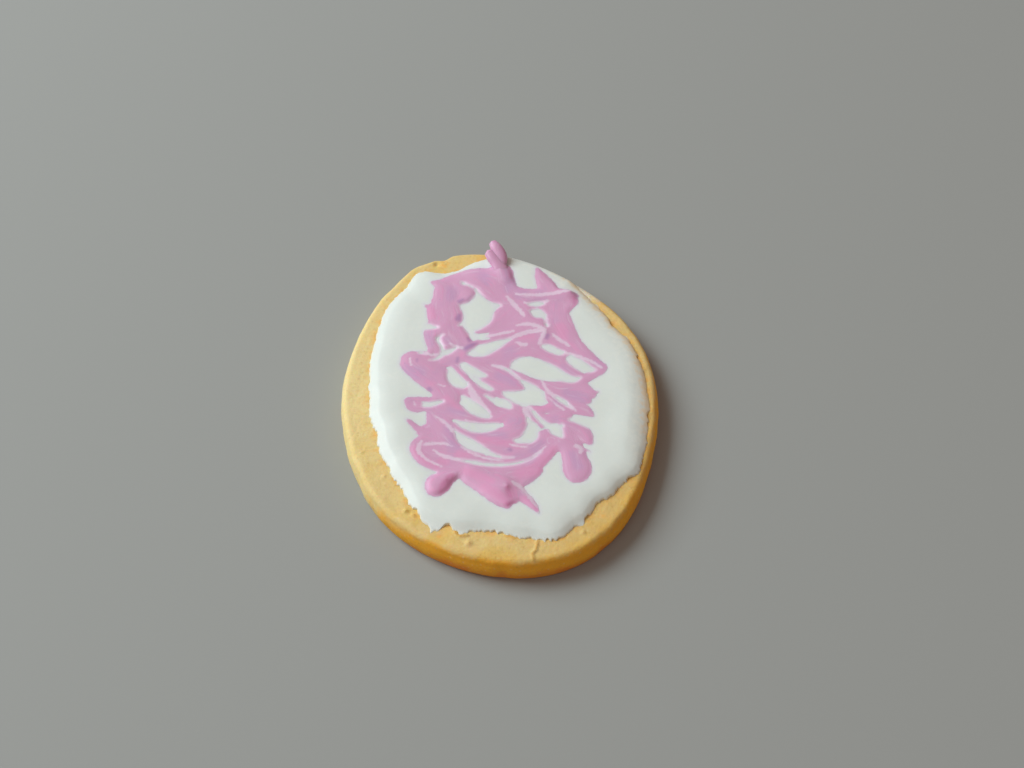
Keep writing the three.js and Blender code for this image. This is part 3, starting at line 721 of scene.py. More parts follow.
# The strokes: how proud each stands, then the line that it took as x, y and half width.
MAUVE_STROKES = [
    # the column at the far left
    [.16, (-7, 30.7, .8), (-6, 29, 2.1), (-6.2, 26.4, 2.7), (-6.8, 23.6, 3), (-6.6, 21.2, 3.2),
        (-7.3, 19, 3), (-8, 17, 4.05), (-7.6, 14.4, 3.9), (-6.2, 12.8, 2)],
    [.24, (-7.3, 18.8, 2), (-8, 16.9, 3.6), (-7.6, 14.6, 3.4), (-6.4, 13.2, 1.6)],
    [.2, (-5.2, 18, 1.1), (-4.6, 16, 1.4), (-4.2, 14.4, 1.25), (-3.2, 13.3, .7)],
    [.1, (-9, 24, .8), (-10.2, 24.5, .5), (-10.8, 25.1, .15)],
    [.14, (-9.4, 24, 1), (-9.6, 22.4, 1.1), (-9.6, 21, 1.05)],
    # the arc from the column round to the tail
    [.15, (-8.1, 31, .5), (-6.6, 30.2, 1.3), (-4, 31.1, 1.5), (-.5, 31.7, 1.8), (3, 31, 2),
        (5.4, 28.8, 3.1), (5.8, 26, 2.8), (6.2, 23.6, 1.9)],
    [.2, (5, 31.6, 1.6), (6.6, 31.4, 2.05), (6.4, 28.6, 2.2)],
    [.45, (6.9, 29.2, 1.6), (6.8, 31, 1.5), (6.5, 32.4, 1.1)],
    [.12, (-.2, 30.2, 1.6), (1.6, 28.2, 1.8), (2.9, 26, 1.65), (3.8, 24.4, 1.25), (4.8, 23, .8)],
    [.15, (-3.4, 29.6, 1.3), (-2.2, 27.9, 1.75), (-1.6, 26.4, 1.6), (-2.8, 25, 1.2), (-4.2, 24, .8)],
    # the elbow at the column's foot
    [.12, (-12.2, 11.4, .4), (-9.6, 10.6, .9), (-7.4, 10.2, 1.3), (-5.4, 10.9, 1.4), (-3.4, 12.3, .9),
        (-1.6, 13.4, .5)],
    [.08, (-9.4, 9, 1), (-7, 9.2, 1), (-5.2, 9.7, .9), (-4.2, 10, .7)],
    # below and right of the far window
    [.07, (6.8, 23.2, 1.2), (6.8, 20.8, 2.6), (4.8, 19.1, 2.2), (2.4, 17.4, 1.2), (-.4, 16.4, .6)],
    [.07, (-1.3, 16.2, .6), (0, 15.8, .35), (2, 15.95, .4), (5, 16.7, .45), (7.8, 17.4, .6)],
    [.07, (7.8, 24, .8), (9.3, 20, 2.2), (11.2, 16.9, 2), (13.4, 15.8, 1.6)],
    # the band to the far right, its panes and horn
    [.16, (7.4, 26.6, .9), (10, 24.4, 1.4), (14, 23.3, 1.75), (18, 22.4, 1.95), (19.8, 22.3, 1.2)],
    [.07, (9.4, 22.9, .5), (11.2, 22.2, .5), (13.2, 21.8, .5)],
    [.07, (12.4, 20.3, .4), (13.4, 20, .9), (13.9, 18.4, .5)],
    [.1, (15.4, 22.5, 2.4), (15, 25.6, 1.95), (14.5, 28, 1.45), (14.2, 30, .8), (14, 31.6, .2)],
    # the right arm
    [.1, (17, 22, 2.3), (16.2, 19, 2.1), (15.9, 16, 2.4), (16.5, 13.2, 2.15), (17.4, 10.2, 1.7),
        (18.6, 7.5, 1.5), (20, 5.2, 1.3), (21.2, 3.5, 1.1), (22.1, 2.6, .8)],
    [.12, (18, 21.4, 1.6), (19.2, 20.8, 1.5), (18.6, 19.6, 1), (17.8, 18.2, .6)],
    # streaks across the middle, and the ladder
    [.07, (.6, 14.4, .3), (2.2, 14.6, .8), (4.4, 14.8, 1.25), (8, 15.2, 1.8), (12, 15.2, 1.9),
        (14, 13.8, 1.6)],
    [.07, (-1.6, 13.2, .5), (0, 13.1, .5), (2, 13.3, .25), (4, 13.45, .4), (6, 13.6, .5),
        (8.2, 13.9, .4)],
    [.07, (-5.2, 10.2, .5), (-3, 8.7, .9), (0, 8.1, 1.5), (3, 9.1, 2), (7, 10.8, 2.4), (11, 11.8, 1.8),
        (13.4, 12.4, 1.2)],
    [.07, (.8, 8.2, 1.2), (4, 8.4, 1.1), (7.5, 9, 1.1), (9.6, 8.2, 1)],
    [.07, (1.2, 7.2, .8), (3, 6.6, .9), (4.4, 7.6, .9)],
    # between the ladder and the right arm
    [.07, (12.8, 11.6, 1.1), (14.8, 9.8, 1.3), (16.6, 7.7, 1)],
    [.07, (16.2, 7.5, .5), (15.2, 6.9, .6), (14.2, 6.3, .6)],
    [.07, (17, 7.3, .6), (18.5, 5.3, .7), (19.7, 3.9, .6), (20.8, 2.8, .4)],
    [.07, (9, 9.4, 1.2), (12.1, 6.9, 1.5), (14.5, 4.3, 1.35), (16.1, 2.3, 1), (17.4, 1.4, .5)],
    # under the ladder
    [.07, (-4.3, 9.2, .8), (-1.8, 7.2, 1.6), (1, 4.6, 2.2), (3.2, 2.4, 1.9), (4.8, .6, 1),
        (5.6, -.1, .2)],
    [.07, (-3.4, 4.6, .4), (-1.4, 3, .9), (1.4, 1.3, 1.2), (4.4, .1, .7)],
    [.07, (.6, 6.8, .35), (3, 5, .65), (5.6, 2.9, .8), (8.2, .5, .85)],
    # the lower right
    [.07, (4.6, 3.4, .3), (7.6, 1.3, .8), (10.2, -.4, 1.3), (12.5, -1.6, 2.1), (15.5, -1.7, 2.2),
        (17.2, -2.2, 1.4), (18.8, -3.4, .6), (19.8, -3.5, .25)],
    [.07, (14, -3, 1.6), (16.6, -4.4, 1.2), (17.4, -5.4, .7)],
    [.07, (16, -3.6, 1), (18, -4.2, .8), (19, -4.3, .3)],
    [.07, (10, -2, .5), (11.8, -3.8, .7), (13.4, -5.4, .8), (14.6, -6.8, .5)],
    [.07, (9.5, -2.6, .5), (10.4, -3.6, .9), (12, -4.6, .8)],
    [.07, (4.6, -5.2, .7), (5.8, -7, .8), (7, -8.6, .7), (7.3, -9.8, .5)],
    [.07, (-1, .2, .5), (.2, -.4, .8), (.7, -1, .5)],
    [.15, (4.2, -19.9, 1.4), (2.4, -21.5, 1.2), (1.2, -22.8, .5)],
    [.07, (13.6, .4, .6), (17, .1, 1), (19.4, .9, 1), (21.6, 1.8, .9), (22.3, 2.3, .6)],
    # the blob and fingers on the left
    [.2, (-15.4, 11.7, 1.3), (-15.1, 10.3, 2.75), (-13.4, 8.2, 3.3), (-11.4, 5.4, 3.2), (-10.1, 3, 2.9),
        (-9.5, .2, 2.3)],
    [.07, (-17.9, .9, .45), (-17.2, -.5, 1), (-16.1, -1, 1.3), (-14.6, -1.3, .9), (-13.6, -1.9, .9)],
    [.07, (-17.6, 1.3, .35), (-14.8, .8, .5), (-13.2, .4, .5), (-12, .8, .5), (-10, 1, .8)],
    # the spine down the middle
    [.07, (-8.2, 9.2, .6), (-6.7, 7.6, .75), (-5.8, 5.4, .6), (-4.8, 3.5, .5), (-4.2, 2.9, .4),
        (-2.6, 1, .5), (-1, -1, .5)],
    [.07, (-6.6, 2.2, .6), (-4.8, 2, 1.1), (-3.2, .7, .9), (-1.8, -.2, .4)],
    [.07, (-6.8, 2, .4), (-6.1, .8, .8), (-4.8, .2, .9), (-3.6, -1.4, 1.3), (-2.2, -3.2, 1.2),
        (-.9, -5, 1.2)],
    [.07, (.7, -1.4, .35), (2.3, -2.6, .4), (3.2, -3.8, .6), (3.2, -6, 1.3)],
    [.07, (-.9, -4.4, .9), (.3, -4.7, .8), (2.4, -5.3, .9)],
    # the core
    [.1, (-11, -1.4, 2.8), (-9.4, -2.8, 2.1), (-6.8, -5, 1.5), (-3.8, -6.4, .9), (-1, -6.5, 1.2),
        (1.6, -5.9, 1.7), (2.8, -7.6, 2.1), (1.2, -8.2, 1.2)],
    [.1, (-13.6, -3.4, .9), (-12.5, -6, 2.3), (-11.5, -9, 2.6), (-9.6, -12, 2.2), (-6, -14.4, 1.2)],
    [.07, (-11, -5, 1.2), (-10.4, -7, .8), (-9.6, -8.4, .4)],
    # the bowl, from its inside out
    [.07, (-9.6, -6.2, .3), (-8.5, -7.8, .8), (-6.4, -9.7, 1.1), (-3.4, -10.7, 1.8), (.5, -10.6, 2),
        (2.8, -9.4, 1.7)],
    [.07, (-6.6, -10.9, .4), (-4.4, -12.2, .9), (-1, -13, 1), (1.5, -13.4, .9)],
    [.07, (-3.6, -14.2, .6), (-2, -14.4, .6), (0, -14.4, .6)],
    [.07, (-16.7, -10.6, 2), (-14.6, -12.9, 2.5), (-9.5, -14.6, 1.6), (-5, -15.9, .9), (-1, -15.6, 1.4),
        (3, -14.9, 1.7), (6.8, -12.9, 1.7), (8, -11.4, .8)],
    [.07, (-9.6, -15.8, .4), (-6, -16.9, .7), (-2, -17.2, .9), (2, -17.2, .9), (5, -16.2, .9),
        (7.6, -14.8, .6)],
    [.08, (-17, -9.2, .7), (-15.6, -8.6, .9), (-14, -9.4, 1.1), (-13, -9, 1.2)],
    [.14, (-17.95, -11, 1.05), (-16.8, -13.6, 1.3), (-14.4, -15.7, 1.3), (-11, -17.2, 1.3),
        (-7.5, -18, 1.6), (-3, -19.2, 1.9), (2.5, -19.2, 1.8), (6, -17.4, 1.45), (8.4, -15.3, 1.3),
        (10.2, -14, 1)],
    [.16, (-1, -20.4, 2), (2, -20.4, 1.8), (3.6, -19.8, 1.2)],
    # drips at the near end
    [.38, (-7.4, -18.7, 3), (-5.2, -21.4, 2.9), (-3.7, -24, 2.45), (-2.9, -25.8, 1.7), (-2.5, -27.1, .7)],
    [.3, (-3.6, -21, 2.4), (-1.6, -23.4, 2.4), (-1.2, -25.3, 1.5), (-1, -26.2, .6)],
    [.22, (-.6, -23.4, 1.5), (.75, -25.6, 1.15), (2.05, -27.6, .85), (2.75, -29.2, .35),
        (2.9, -29.7, .1)],
    [.5, (-11.6, -18.6, 1.1), (-13.2, -19, 1.7), (-14.7, -20, 2.4), (-15.3, -20.9, 1.85)],
    [.26, (-10, -17.6, .8), (-12.4, -19, 1.2)],
    # the hook and dabs on the right
    [.07, (5.8, -4.9, .5), (8.2, -5.7, .8), (11.6, -5.8, 1.6), (14.4, -6.4, 1.7), (16.4, -7.6, 1.2),
        (17.6, -8.9, .4)],
    [.07, (7.2, -6.2, .35), (8.2, -7.6, .6), (9.8, -8.4, 1.2), (12.8, -7.8, 1.1)],
    [.12, (11.2, -9.2, .8), (12.6, -10.3, 1), (14.6, -11.8, 1.35), (15.2, -13.2, 1.4), (15.5, -14.3, 1.1),
        (15.7, -15.2, .7)],
    [.07, (12.4, -11.6, .4), (14, -13.6, .7), (15.3, -14.8, .7)],
    [.1, (11.6, -9.8, 1), (11.9, -12, .9), (12, -14, 2)],
    [.07, (12.6, -15.8, .45), (14, -16.5, .3), (15.3, -17.5, .12)],
    # the drop at the near right
    [.24, (10.2, -14, 1.2), (11.9, -16.4, 2.2), (12.15, -19.2, 2.5), (12.1, -21.2, 2.75),
        (11.6, -22.5, 1.75)],
    [.12, (8.6, -13.6, 1.4), (9.6, -15.2, 1.2), (13, -15.4, 1.2)],
    # the wing, and the loop beside the column
    [.07, (-15.8, -8.2, .3), (-14.8, -7, 1.1), (-16.4, -6.5, .7), (-17.6, -5, .55), (-18.4, -3.8, .2)],
    [.07, (-16.8, -7.5, .3), (-15.2, -6.7, .9), (-13.6, -5.8, 1)],
    [.12, (-13.6, 12.4, .5), (-11.8, 12.2, .55), (-10.9, 13.8, 1), (-10.6, 16, 1.3)],
]
# The white lines that the pick drew through the mauve: x, y and half width.
WHITE_DRAGS = [
    # the far window
    [(.3, 27.2, .1), (.6, 26.2, .3), (.5, 25, .9), (.1, 23.2, 1.8), (-.2, 20.6, 3), (-1.2, 18.9, 2.4),
        (-2.3, 17.4, 1.3), (-2.5, 16.2, .6)],
    [(-2.4, 29.9, .12), (-2, 29.5, .4), (-1.2, 28.9, .2), (-.3, 28.1, .2), (.3, 27.2, .25)],
    [(.5, 22.6, 1.4), (-1.7, 22.5, 1.6), (-3.1, 23.3, .6), (-3.7, 23.8, .1)],
    [(.5, 22.2, 1.4), (2.6, 22.2, 1.1), (4, 22.3, .5), (4.7, 22.1, .15)],
    [(-2.6, 18.6, .9), (-4, 18.6, .4), (-4.7, 18.3, .15)],
    [(-2.5, 16.6, .7), (-2.3, 15.2, .55), (-1.3, 14.6, .5), (.3, 14.6, .2)],
    # under the streaks, and between the ladder's rungs
    [(-3.6, 10.6, .5), (-2.6, 10.7, 1), (-.8, 11, 1.5), (1.3, 11.6, 1.2), (2.7, 12.15, .85),
        (4, 12.65, .4), (4.9, 12.9, .12)],
    [(-5.6, 8, .55), (-4.9, 7, .95), (-3.7, 5.8, 1.05), (-2.5, 4.9, .8), (-1.6, 4.5, .4)],
    [(-8, 7.8, .12), (-8.15, 6.8, .6), (-8, 5.4, 1.1), (-7.3, 4, 1.35), (-6.4, 3.1, 1), (-5.9, 2.8, .6)],
    [(-3.5, 4.3, .35), (-3, 3.1, .55), (-2.2, 2, .65), (-1.2, 1.1, .5), (-.8, .8, .25)],
    [(-2.3, -.5, .25), (-1.5, -1.3, .35), (-.4, -2.2, .6), (.8, -2.8, .95), (1.5, -3.5, .8),
        (1.9, -4.2, .45)],
    # across the core
    [(-6.6, -.1, .35), (-6.3, -1.3, .85), (-5.4, -2.8, 1.4), (-4.2, -4.1, 1.3), (-3.2, -5, .95),
        (-2.5, -5.7, .4)],
    [(-8.9, -6, .35), (-8, -6.7, .75), (-6.4, -7.6, 1.15), (-4.8, -8.15, 1.15), (-3, -8.3, 1.05),
        (-1.8, -8.15, .8), (-1.2, -8.05, .5)],
    [(-9.7, -7.8, .15), (-9.3, -8.9, .45), (-8.55, -10.2, .95), (-7.6, -11.35, 1.2), (-6.3, -12.5, 1.1),
        (-5, -13.6, .75), (-3.8, -14.6, .48), (-2.5, -15.45, .34), (-1.1, -16.05, .2), (.5, -16.3, .05)],
    [(-14.5, -.75, .55), (-13.4, -.8, .6), (-12, -.6, .45), (-10.9, -.45, .25)],
    # windows and slits on the right
    [(4.3, 5.7, .3), (5.2, 6.1, 1.2), (6.4, 5.9, 1.85), (8, 5, 2.1), (10, 3.95, 2.1), (12, 2.8, 1.65),
        (14, 1.3, 1.1), (15.5, .5, .8), (16.6, .6, .45), (17.1, .7, .2)],
    [(11.4, 9.9, .5), (12.4, 9.2, .85), (13.6, 8.2, .8), (14.7, 7.6, .55)],
    [(16.4, 6.5, .35), (16.3, 5.4, 1), (17.2, 4.3, 1.25), (18.4, 3.1, 1.15), (19.6, 2.3, .65),
        (20.3, 2.1, .3)],
    [(4.8, 3, .1), (5.4, 1.9, .35), (6.2, .8, .7), (7.1, -.6, 1.2)],
    [(1.6, -.7, .55), (2.8, -1.4, 1.1), (4.6, -2.3, 1.75), (6.6, -2.4, 1.9), (7.8, -2.6, 1.5),
        (8.3, -3.6, .85), (8.6, -4.2, .45)],
    [(10.9, -2.9, .1), (11.7, -3.6, .36), (12.6, -4.6, .46), (13.3, -5.6, .3), (14, -6.6, .1)],
    # in and beside the bowl
    [(5.8, -5, .12), (6.4, -6.5, .26), (7.05, -7.8, .34), (7.9, -9.1, .45), (8.7, -10.1, .6)],
    [(4.9, -6.9, .1), (5, -7.6, .4), (5.15, -8.4, .6)],
    [(.4, 6.7, .06), (2, 6, .2), (3.5, 4.7, .24), (4.7, 3, .24)],
    [(4.95, -7.9, .2), (5.35, -9, .75), (5.2, -10.5, 1.2), (4.5, -11.9, 1.5), (3.3, -12.4, .9),
        (2.2, -12.5, .65), (1.5, -12.3, .25)],
    [(7.3, -8.3, .2), (7.6, -8.9, .35), (7.9, -9.4, .2)],
    [(8.9, -10.5, .55), (9.8, -11.1, 1.2), (10.3, -12.2, .75), (10.7, -13.1, .25)],
    [(9.8, -10.8, .6), (11.1, -10.5, .45)],
    [(13.2, -9.3, .4), (14.2, -9.5, .7), (15.6, -10.3, .9), (17, -11, 1.2)],
    [(-10.4, -14.8, .1), (-8.8, -15.5, .3), (-7, -16.25, .42), (-5, -17, .4), (-2.5, -17.55, .34),
        (0, -17.8, .3), (2.4, -17.55, .24), (4.4, -16.9, .16), (6, -16, .06)],
    # panes of the band
    [(10.5, 21.4, .3), (11.3, 21.3, .5), (12.4, 21.2, .6), (13.4, 21.2, .35)],
    [(10.9, 19.3, .6), (11.8, 18.7, 1.15), (12.6, 18.2, .75), (13.05, 17, .25), (13, 15.9, .22),
        (13.1, 15.1, .3)],
    # notches of the column and the elbow
    [(-9.3, 11.7, .4), (-8.3, 11.8, .65), (-7.2, 12.1, .45), (-6, 12.7, .22)],
    [(-13.6, 12.6, .3), (-12.4, 12, .12)],
    [(-8.2, 16.3, .1), (-9, 16.1, .26), (-9.5, 15.4, .4), (-9.35, 14.4, .3), (-9, 13.4, .24),
        (-8.9, 12.3, .34)],
    [(-11.9, 10.25, .1), (-10.8, 10.4, .28), (-9.8, 10.9, .4), (-8.9, 11.6, .45)],
    [(-13, 19.2, .9), (-11, 19.1, .75), (-9.8, 18.7, .4), (-9, 18.5, .2)],
    [(-16.8, -16.9, .9), (-15.6, -17.1, .4), (-14.9, -17.3, .1)],
]
# Runs of another tint, drawn the same way. Wisps are pale, where some white was carried along; two
# pale runs are a painted highlight, on the band's ridge and on the far right peak's tip. Deep purple is
# painted shade in hollows, which lie where the mauve is thick. Magenta is painted shade on the side of
# thick icing away from the light, and two violet runs are painted shade below the band's ridge and on
# the arc's right.
TINT_RUNS = {
    "from_wisp": [
        [(4.2, 12.8, .4), (6.4, 13.5, .5), (9, 14.1, .5), (12, 13.9, .5)],
        [(-2.4, 15.2, .3), (-1, 14.5, .5), (2, 14.5, .4), (6, 14.9, .3)],
        [(7, 16.2, .2), (9, 16.2, .45), (11, 15.3, .5), (12.3, 13.9, .5), (11.6, 12.4, .45),
            (10.7, 10.8, .4)],
        [(6.3, 24.3, .3), (7, 22.7, .5), (7.8, 21, .5), (8.5, 19.5, .45), (8.9, 18.4, .3)],
        # painted highlight along the band's ridge
        [(8.3, 24.5, .2), (12, 23.6, .4), (16, 23.3, .45), (19, 23.4, .4)],
        [(9.6, 21.9, .3), (12, 21.5, .4), (14.6, 21.6, .3)],
        [(-5.3, 3.3, .35), (-5, 1.6, .6), (-4.6, 0, .8), (-3.9, -1.6, .75), (-3.1, -3, .5),
            (-2.2, -4.6, .3)],
        [(4.9, -4.2, .5), (4.9, -5.6, .6), (5, -7, .6)],
        [(5.6, -4.6, .4), (6.4, -6.5, .5), (7.4, -8.4, .6)],
        [(14.8, 7.8, .3), (16.4, 6.9, .3), (18.4, 5.6, .35), (20.4, 4, .35), (21.8, 2.4, .2)],
        [(-16.4, -9.5, .3), (-17.1, -10.6, .45), (-17.2, -12, .45), (-16.6, -13.2, .35),
            (-15.4, -14.6, .3), (-13.4, -16.1, .2)],
        [(-16, -10.3, .35), (-14, -10.4, .35), (-12, -10.9, .3), (-10.8, -11.6, .15)],
        [(-14.3, -12, .25), (-13.2, -13.3, .4), (-11.6, -14.3, .4), (-10, -15, .3)],
        [(.4, -13.2, .2), (2, -13.9, .25), (3.6, -14.3, .2)],
        [(4.4, -16.6, .3), (6, -15.7, .3), (7.2, -14.8, .2)], [(-15.8, 11.3, .25), (-15.8, 9.5, .2)],
        [(9.4, 1.5, .2), (9.8, -.6, .35), (10.6, -2.4, .45), (12, -4, .6), (13.3, -5.7, .5),
            (14.6, -7.2, .25)],
        [(10, -3.2, .15), (11, -5, .2), (12.3, -6.7, .2)],
        [(-.6, -22.2, .4), (.9, -23.8, .45), (1.9, -26, .35), (2.9, -28.4, .2)],
        # the first run on this line is a painted highlight on the far right peak's tip
        [(19, 24, .7), (20, 23.2, .4)], [(-9.5, 15.6, .5), (-9.2, 14.2, .45), (-9, 12.6, .5)],
        [(-7.3, 13.7, .25), (-6.2, 12.9, .35), (-5, 12.3, .35)],
        [(-12.3, 12.9, .2), (-11.6, 11.6, .3), (-10.2, 11.5, .3)],
        [(-12.9, -3.7, .15), (-11.7, -5.2, .35), (-10.6, -6.8, .4), (-10.1, -8.2, .4)],
        [(-16.5, .3, .1), (-16.4, -.5, .15)], [(-11.2, 3.9, .1), (-10.6, 3.4, .15), (-9.8, 3.1, .1)],
        [(13, -15.8, .5), (13.8, -16.6, .5), (13.4, -17.6, .3)],
        [(13.8, 12.6, .25), (14.7, 11.2, .4), (15.7, 10.1, .4), (16.4, 9.1, .25)],
        [(6, 11.9, .2), (7, 11.2, .5), (8, 11, .4)],
        [(.3, 6.8, .2), (2, 6, .4), (3.6, 4.6, .4), (4.9, 2.7, .4)],
        [(-7.2, -5.8, .15), (-5, -6.9, .2), (-3, -7.3, .15)],
        [(-9, -12.2, .2), (-6.6, -14.4, .3), (-4, -15.9, .3), (-1.6, -16.7, .2)],
    ],
    "from_deep": [
        [(-4.2, 20.9, .4), (-4.6, 20, .6)], [(-4.3, 12, .4), (-3.3, 12.5, .5), (-1.8, 13.1, .2)],
        [(-6.2, 9.9, .2), (-6.5, 9, .25)], [(-3.6, 24.6, .4), (-2.9, 24.9, .3)],
        [(-3.4, 14.6, .2), (-3.2, 13.8, .3)], [(-14.4, 10.8, .1), (-14.5, 10.2, .05)],
        [(.1, -14.3, .3), (.3, -14.5, .3)], [(-13.1, 3.1, .35), (-12.9, 2.7, .35)],
        [(12.7, 12.5, .4), (12.4, 11.9, .4)],
    ],
    "from_warm": [
        [(1, -20.4, 1.2), (4, -19.8, 1.4), (6.5, -17.8, 1.2), (8.6, -15.8, .9)],
        [(-6, -22.5, 1), (-3, -26.2, 1)], [(-18, -11, .7), (-17, -13.6, .7), (-14.4, -16, .7)],
        [(-16.2, -21.4, .5), (-15.8, -21.6, .5)], [(-9.8, 23.4, .8), (-9.8, 21.6, .8)],
        [(.8, -26, .6), (2.8, -29, .4)], [(-13.1, 4.8, .6), (-12.4, 4.2, .6)],
        [(-13.4, -14.9, .7), (-12.4, -15.2, .6)], [(-9, -18, 1), (-4.6, -21.4, .8)],
        [(7.2, 12.9, .6), (9.6, 12.7, .6)], [(-10.2, .2, .6), (-9, -1.4, .6), (-8.2, -2.6, .4)],
        [(-9.6, -13.8, .8), (-8, -14.2, .6)], [(-4.8, -11, 1), (-1, -12.4, .8), (2, -13.8, .6)],
        [(7, -5.6, .6), (9.6, -5.2, .6)], [(-5.2, 10.8, .5), (-5.4, 10.2, .4)],
        [(15.6, 14.2, 1.2), (15.8, 11.4, .8)],
    ],
    "from_violet": [
        [(-17, 8.9, 1), (-14.6, 7.4, 1.6)], [(-9.4, -3, .9), (-7.4, -4.2, .7)],
        [(-10.8, -7.2, .7), (-10.6, -11.2, .7)], [(1.4, 3.9, 1.1), (4, 2, 1.2)],
        [(14, -2.8, 1.3), (16.6, -4.6, 1.2)], [(-11, 17, .6), (-11, 14.2, .6)],
        [(11.8, -17.6, .8), (12.4, -20.6, 1)], [(5, -15.2, 1), (6.6, -13.8, .6)],
        # The first run on this line is painted shade below the band's ridge; the first on the next is
        # painted shade on the arc's right, below the pull.
        [(8.4, 23.7, .3), (11, 22.5, .4), (14.2, 22.1, .3)], [(2.6, 30.4, 1.2), (3, 28.6, .8)],
        [(7.5, 31.2, .9), (7.4, 28.2, 1), (6.8, 25.8, .7)], [(-5, 28.4, .8), (-5.2, 26, 1)],
        [(-7.6, 15, .7), (-7.6, 13.8, .5)], [(-1, -11, 1.2), (-4.4, -9.9, .7)],
    ],
    "from_magenta": [
        [(-11.9, -18.8, .7), (-13.2, -20.6, 1.1), (-14.4, -21.8, .7)],
        [(-1.7, -22.6, .3), (-1.7, -23.8, .8), (-1.5, -25, 1)], [(-2.6, -27, .5), (-1.2, -26.6, .5)],
        [(20, 22, .5), (19.6, 20.4, .5)], [(7.9, 31.4, .4), (8, 29, .4)],
    ],
}
# Peaks left by the pick: x, y, radius, height, and the compass side that falls off steeply.
MAUVE_PEAKS = [
    (19.7, 23.2, 1.8, 0.65, -30), (12.4, 13.4, 1.6, 0.26, -60), (-1.9, -23.2, 1.8, 0.6, -40),
    (-13.2, -19.6, 1.6, 0.2, -40), (6.0, 31.4, 2.4, 0.55, 60),
]
PEAK_FALL = (1.4, 0.9)  # how fast a peak falls off all round, and how much faster on its steep side
LATTICE_STEP = 0.2
LATTICE_X = (-20.6, 24.6)
LATTICE_Y = (-31.0, 36.6)
LINE_PER_SPAN = 5  # stations of a drawn line from point to point
LEAST_HALF_WIDTH = 0.03
LEAST_RISE_WIDTH = 0.1  # a stroke takes at least this much to rise from its edge to its middle
LINE_REACH = 1.2  # distances are measured this far from a line's edge
FAR_OFF = 9.0  # stands for any distance beyond that
STROKE_BLEND = 0.25  # how far two strokes run together
DRAG_BLEND = 0.15
SHORE = 0.35  # how far the mauve goes on under the white beyond its edge
SHORE_DIVE = 0.9  # how steeply it goes down there
SHORE_STEP = (0.02, 6)  # how proud it stands just within its edge, and the edge's steepness
SPREAD = 0.16  # how far the thinnest mauve runs out past its drawn edge
MAUVE_BODY = 0.55  # thickness of the mauve below the white's level
MAUVE_KEPT_UP = 0.1  # its underside stays this far above the biscuit's top
# The edge's wobbles: height, then length, number of waves and seed.
WOBBLES = [(0.035, (1.5, 30, 6)), (0.0175, (0.6, 30, 7))]
# Times that the strokes' height, the rise from the shore, and the colour's cover are smoothed.
SMOOTHED = {"height": 10, "shore": 11, "cover": 4}
# Streak coordinates are moved on by this much from stroke to stroke, across and along.
STREAK_JUMP = (7.3, 11.9)

# The pull over the far edge, each point x, y, height of the middle, half width and half height.
TAIL = [
    (6.5, 28.8, 6.35, 1.2, 0.3), (6.5, 30.4, 6.75, 1.6, 0.55), (6.35, 32.0, 7.1, 1.55, 0.75),
    (5.85, 33.6, 7.45, 1.42, 0.88), (5.15, 35.0, 7.8, 1.34, 0.95), (4.55, 36.2, 8.12, 1.08, 0.88),
]
TAIL_LOBE = [
    (7.0, 33.0, 7.3, 0.8, 0.5), (7.0, 34.4, 7.75, 1.22, 0.85), (6.7, 35.7, 8.12, 1.35, 0.98),
    (6.2, 37.0, 8.5, 1.22, 0.96), (5.7, 38.2, 8.74, 0.85, 0.76),
]
TAIL_AROUND = 28
TAIL_PER_SPAN = 8
TAIL_TIPS = (0.5, 0.6)  # how far its closing points lie beyond its ends, in half widths
TAIL_STREAK_STEP = 0.3

MAUVE = (0.700, 0.393, 0.597, 1)
MAUVE_PINK = (0.770, 0.362, 0.590, 1)
# violet; in two runs it is painted shade
MAUVE_VIOLET = (0.600, 0.375, 0.600, 1)
# painted shade on the side of thick icing away from the light
MAUVE_MAGENTA = (0.66, 0.20, 0.42, 1)
# Deep purple: painted shade in hollows, and the colour of the fine specks.
MAUVE_HOLLOW_SHADE_AND_SPECKS = (0.32, 0.18, 0.42, 1)
# Pale: white carried along, and in two runs a painted highlight.
MAUVE_PALE = (0.83, 0.71, 0.85, 1)
MAUVE_SHORE = (0.77, 0.74, 0.84, 1)  # where it thins out over the white
MAUVE_SPECKS = (420, 0.09, 0.86)
MAUVE_SKIN = (0.00005, 0.35, 0.25, (1.0, 0.6, 0.8), 0.0006)


def drawn(line, x, y):
    """For every lattice point near a drawn line: the distance outside its edge, less than nothing
    inside, the distance across from its middle, signed for the side, the length along it, and the half
    width there. Beyond the reach the distance stays large."""
    stations = smooth_line(line, LINE_PER_SPAN)
    stations[:, 2] = np.maximum(stations[:, 2], LEAST_HALF_WIDTH)
    grasp = LINE_REACH + stations[:, 2].max()
    low, high = stations.min(axis=0) - grasp, stations.max(axis=0) + grasp
    columns = slice(*np.searchsorted(x[0], [low[0], high[0]]))
    rows = slice(*np.searchsorted(y[:, 0], [low[1], high[1]]))
    found = np.zeros((4, *x.shape))
    found[0] = FAR_OFF
    done = 0.0
    for from_line, half, side, along, length in stretches(stations, x[rows, columns], y[rows, columns]):
        fresh = np.array([from_line - half, from_line * side, done + along, half])
        kept = found[:, rows, columns]
        found[:, rows, columns] = np.where(fresh[0] < kept[0], fresh, kept)
        done += length
    return found


def nearest_line(lines, x, y):
    """The distance outside the nearest of several drawn lines."""
    return np.min([drawn(line, x, y)[0] for line in lines], axis=0)


def run_together(first, second, blend):
    """The smaller of two distances, rounded off where they differ by less than the blend: a parabola
    is taken away that is a quarter of the blend deep where they are equal."""
    overlap = np.maximum(blend - np.abs(first - second), 0) / blend
    return np.minimum(first, second) - overlap**2 * blend / 4


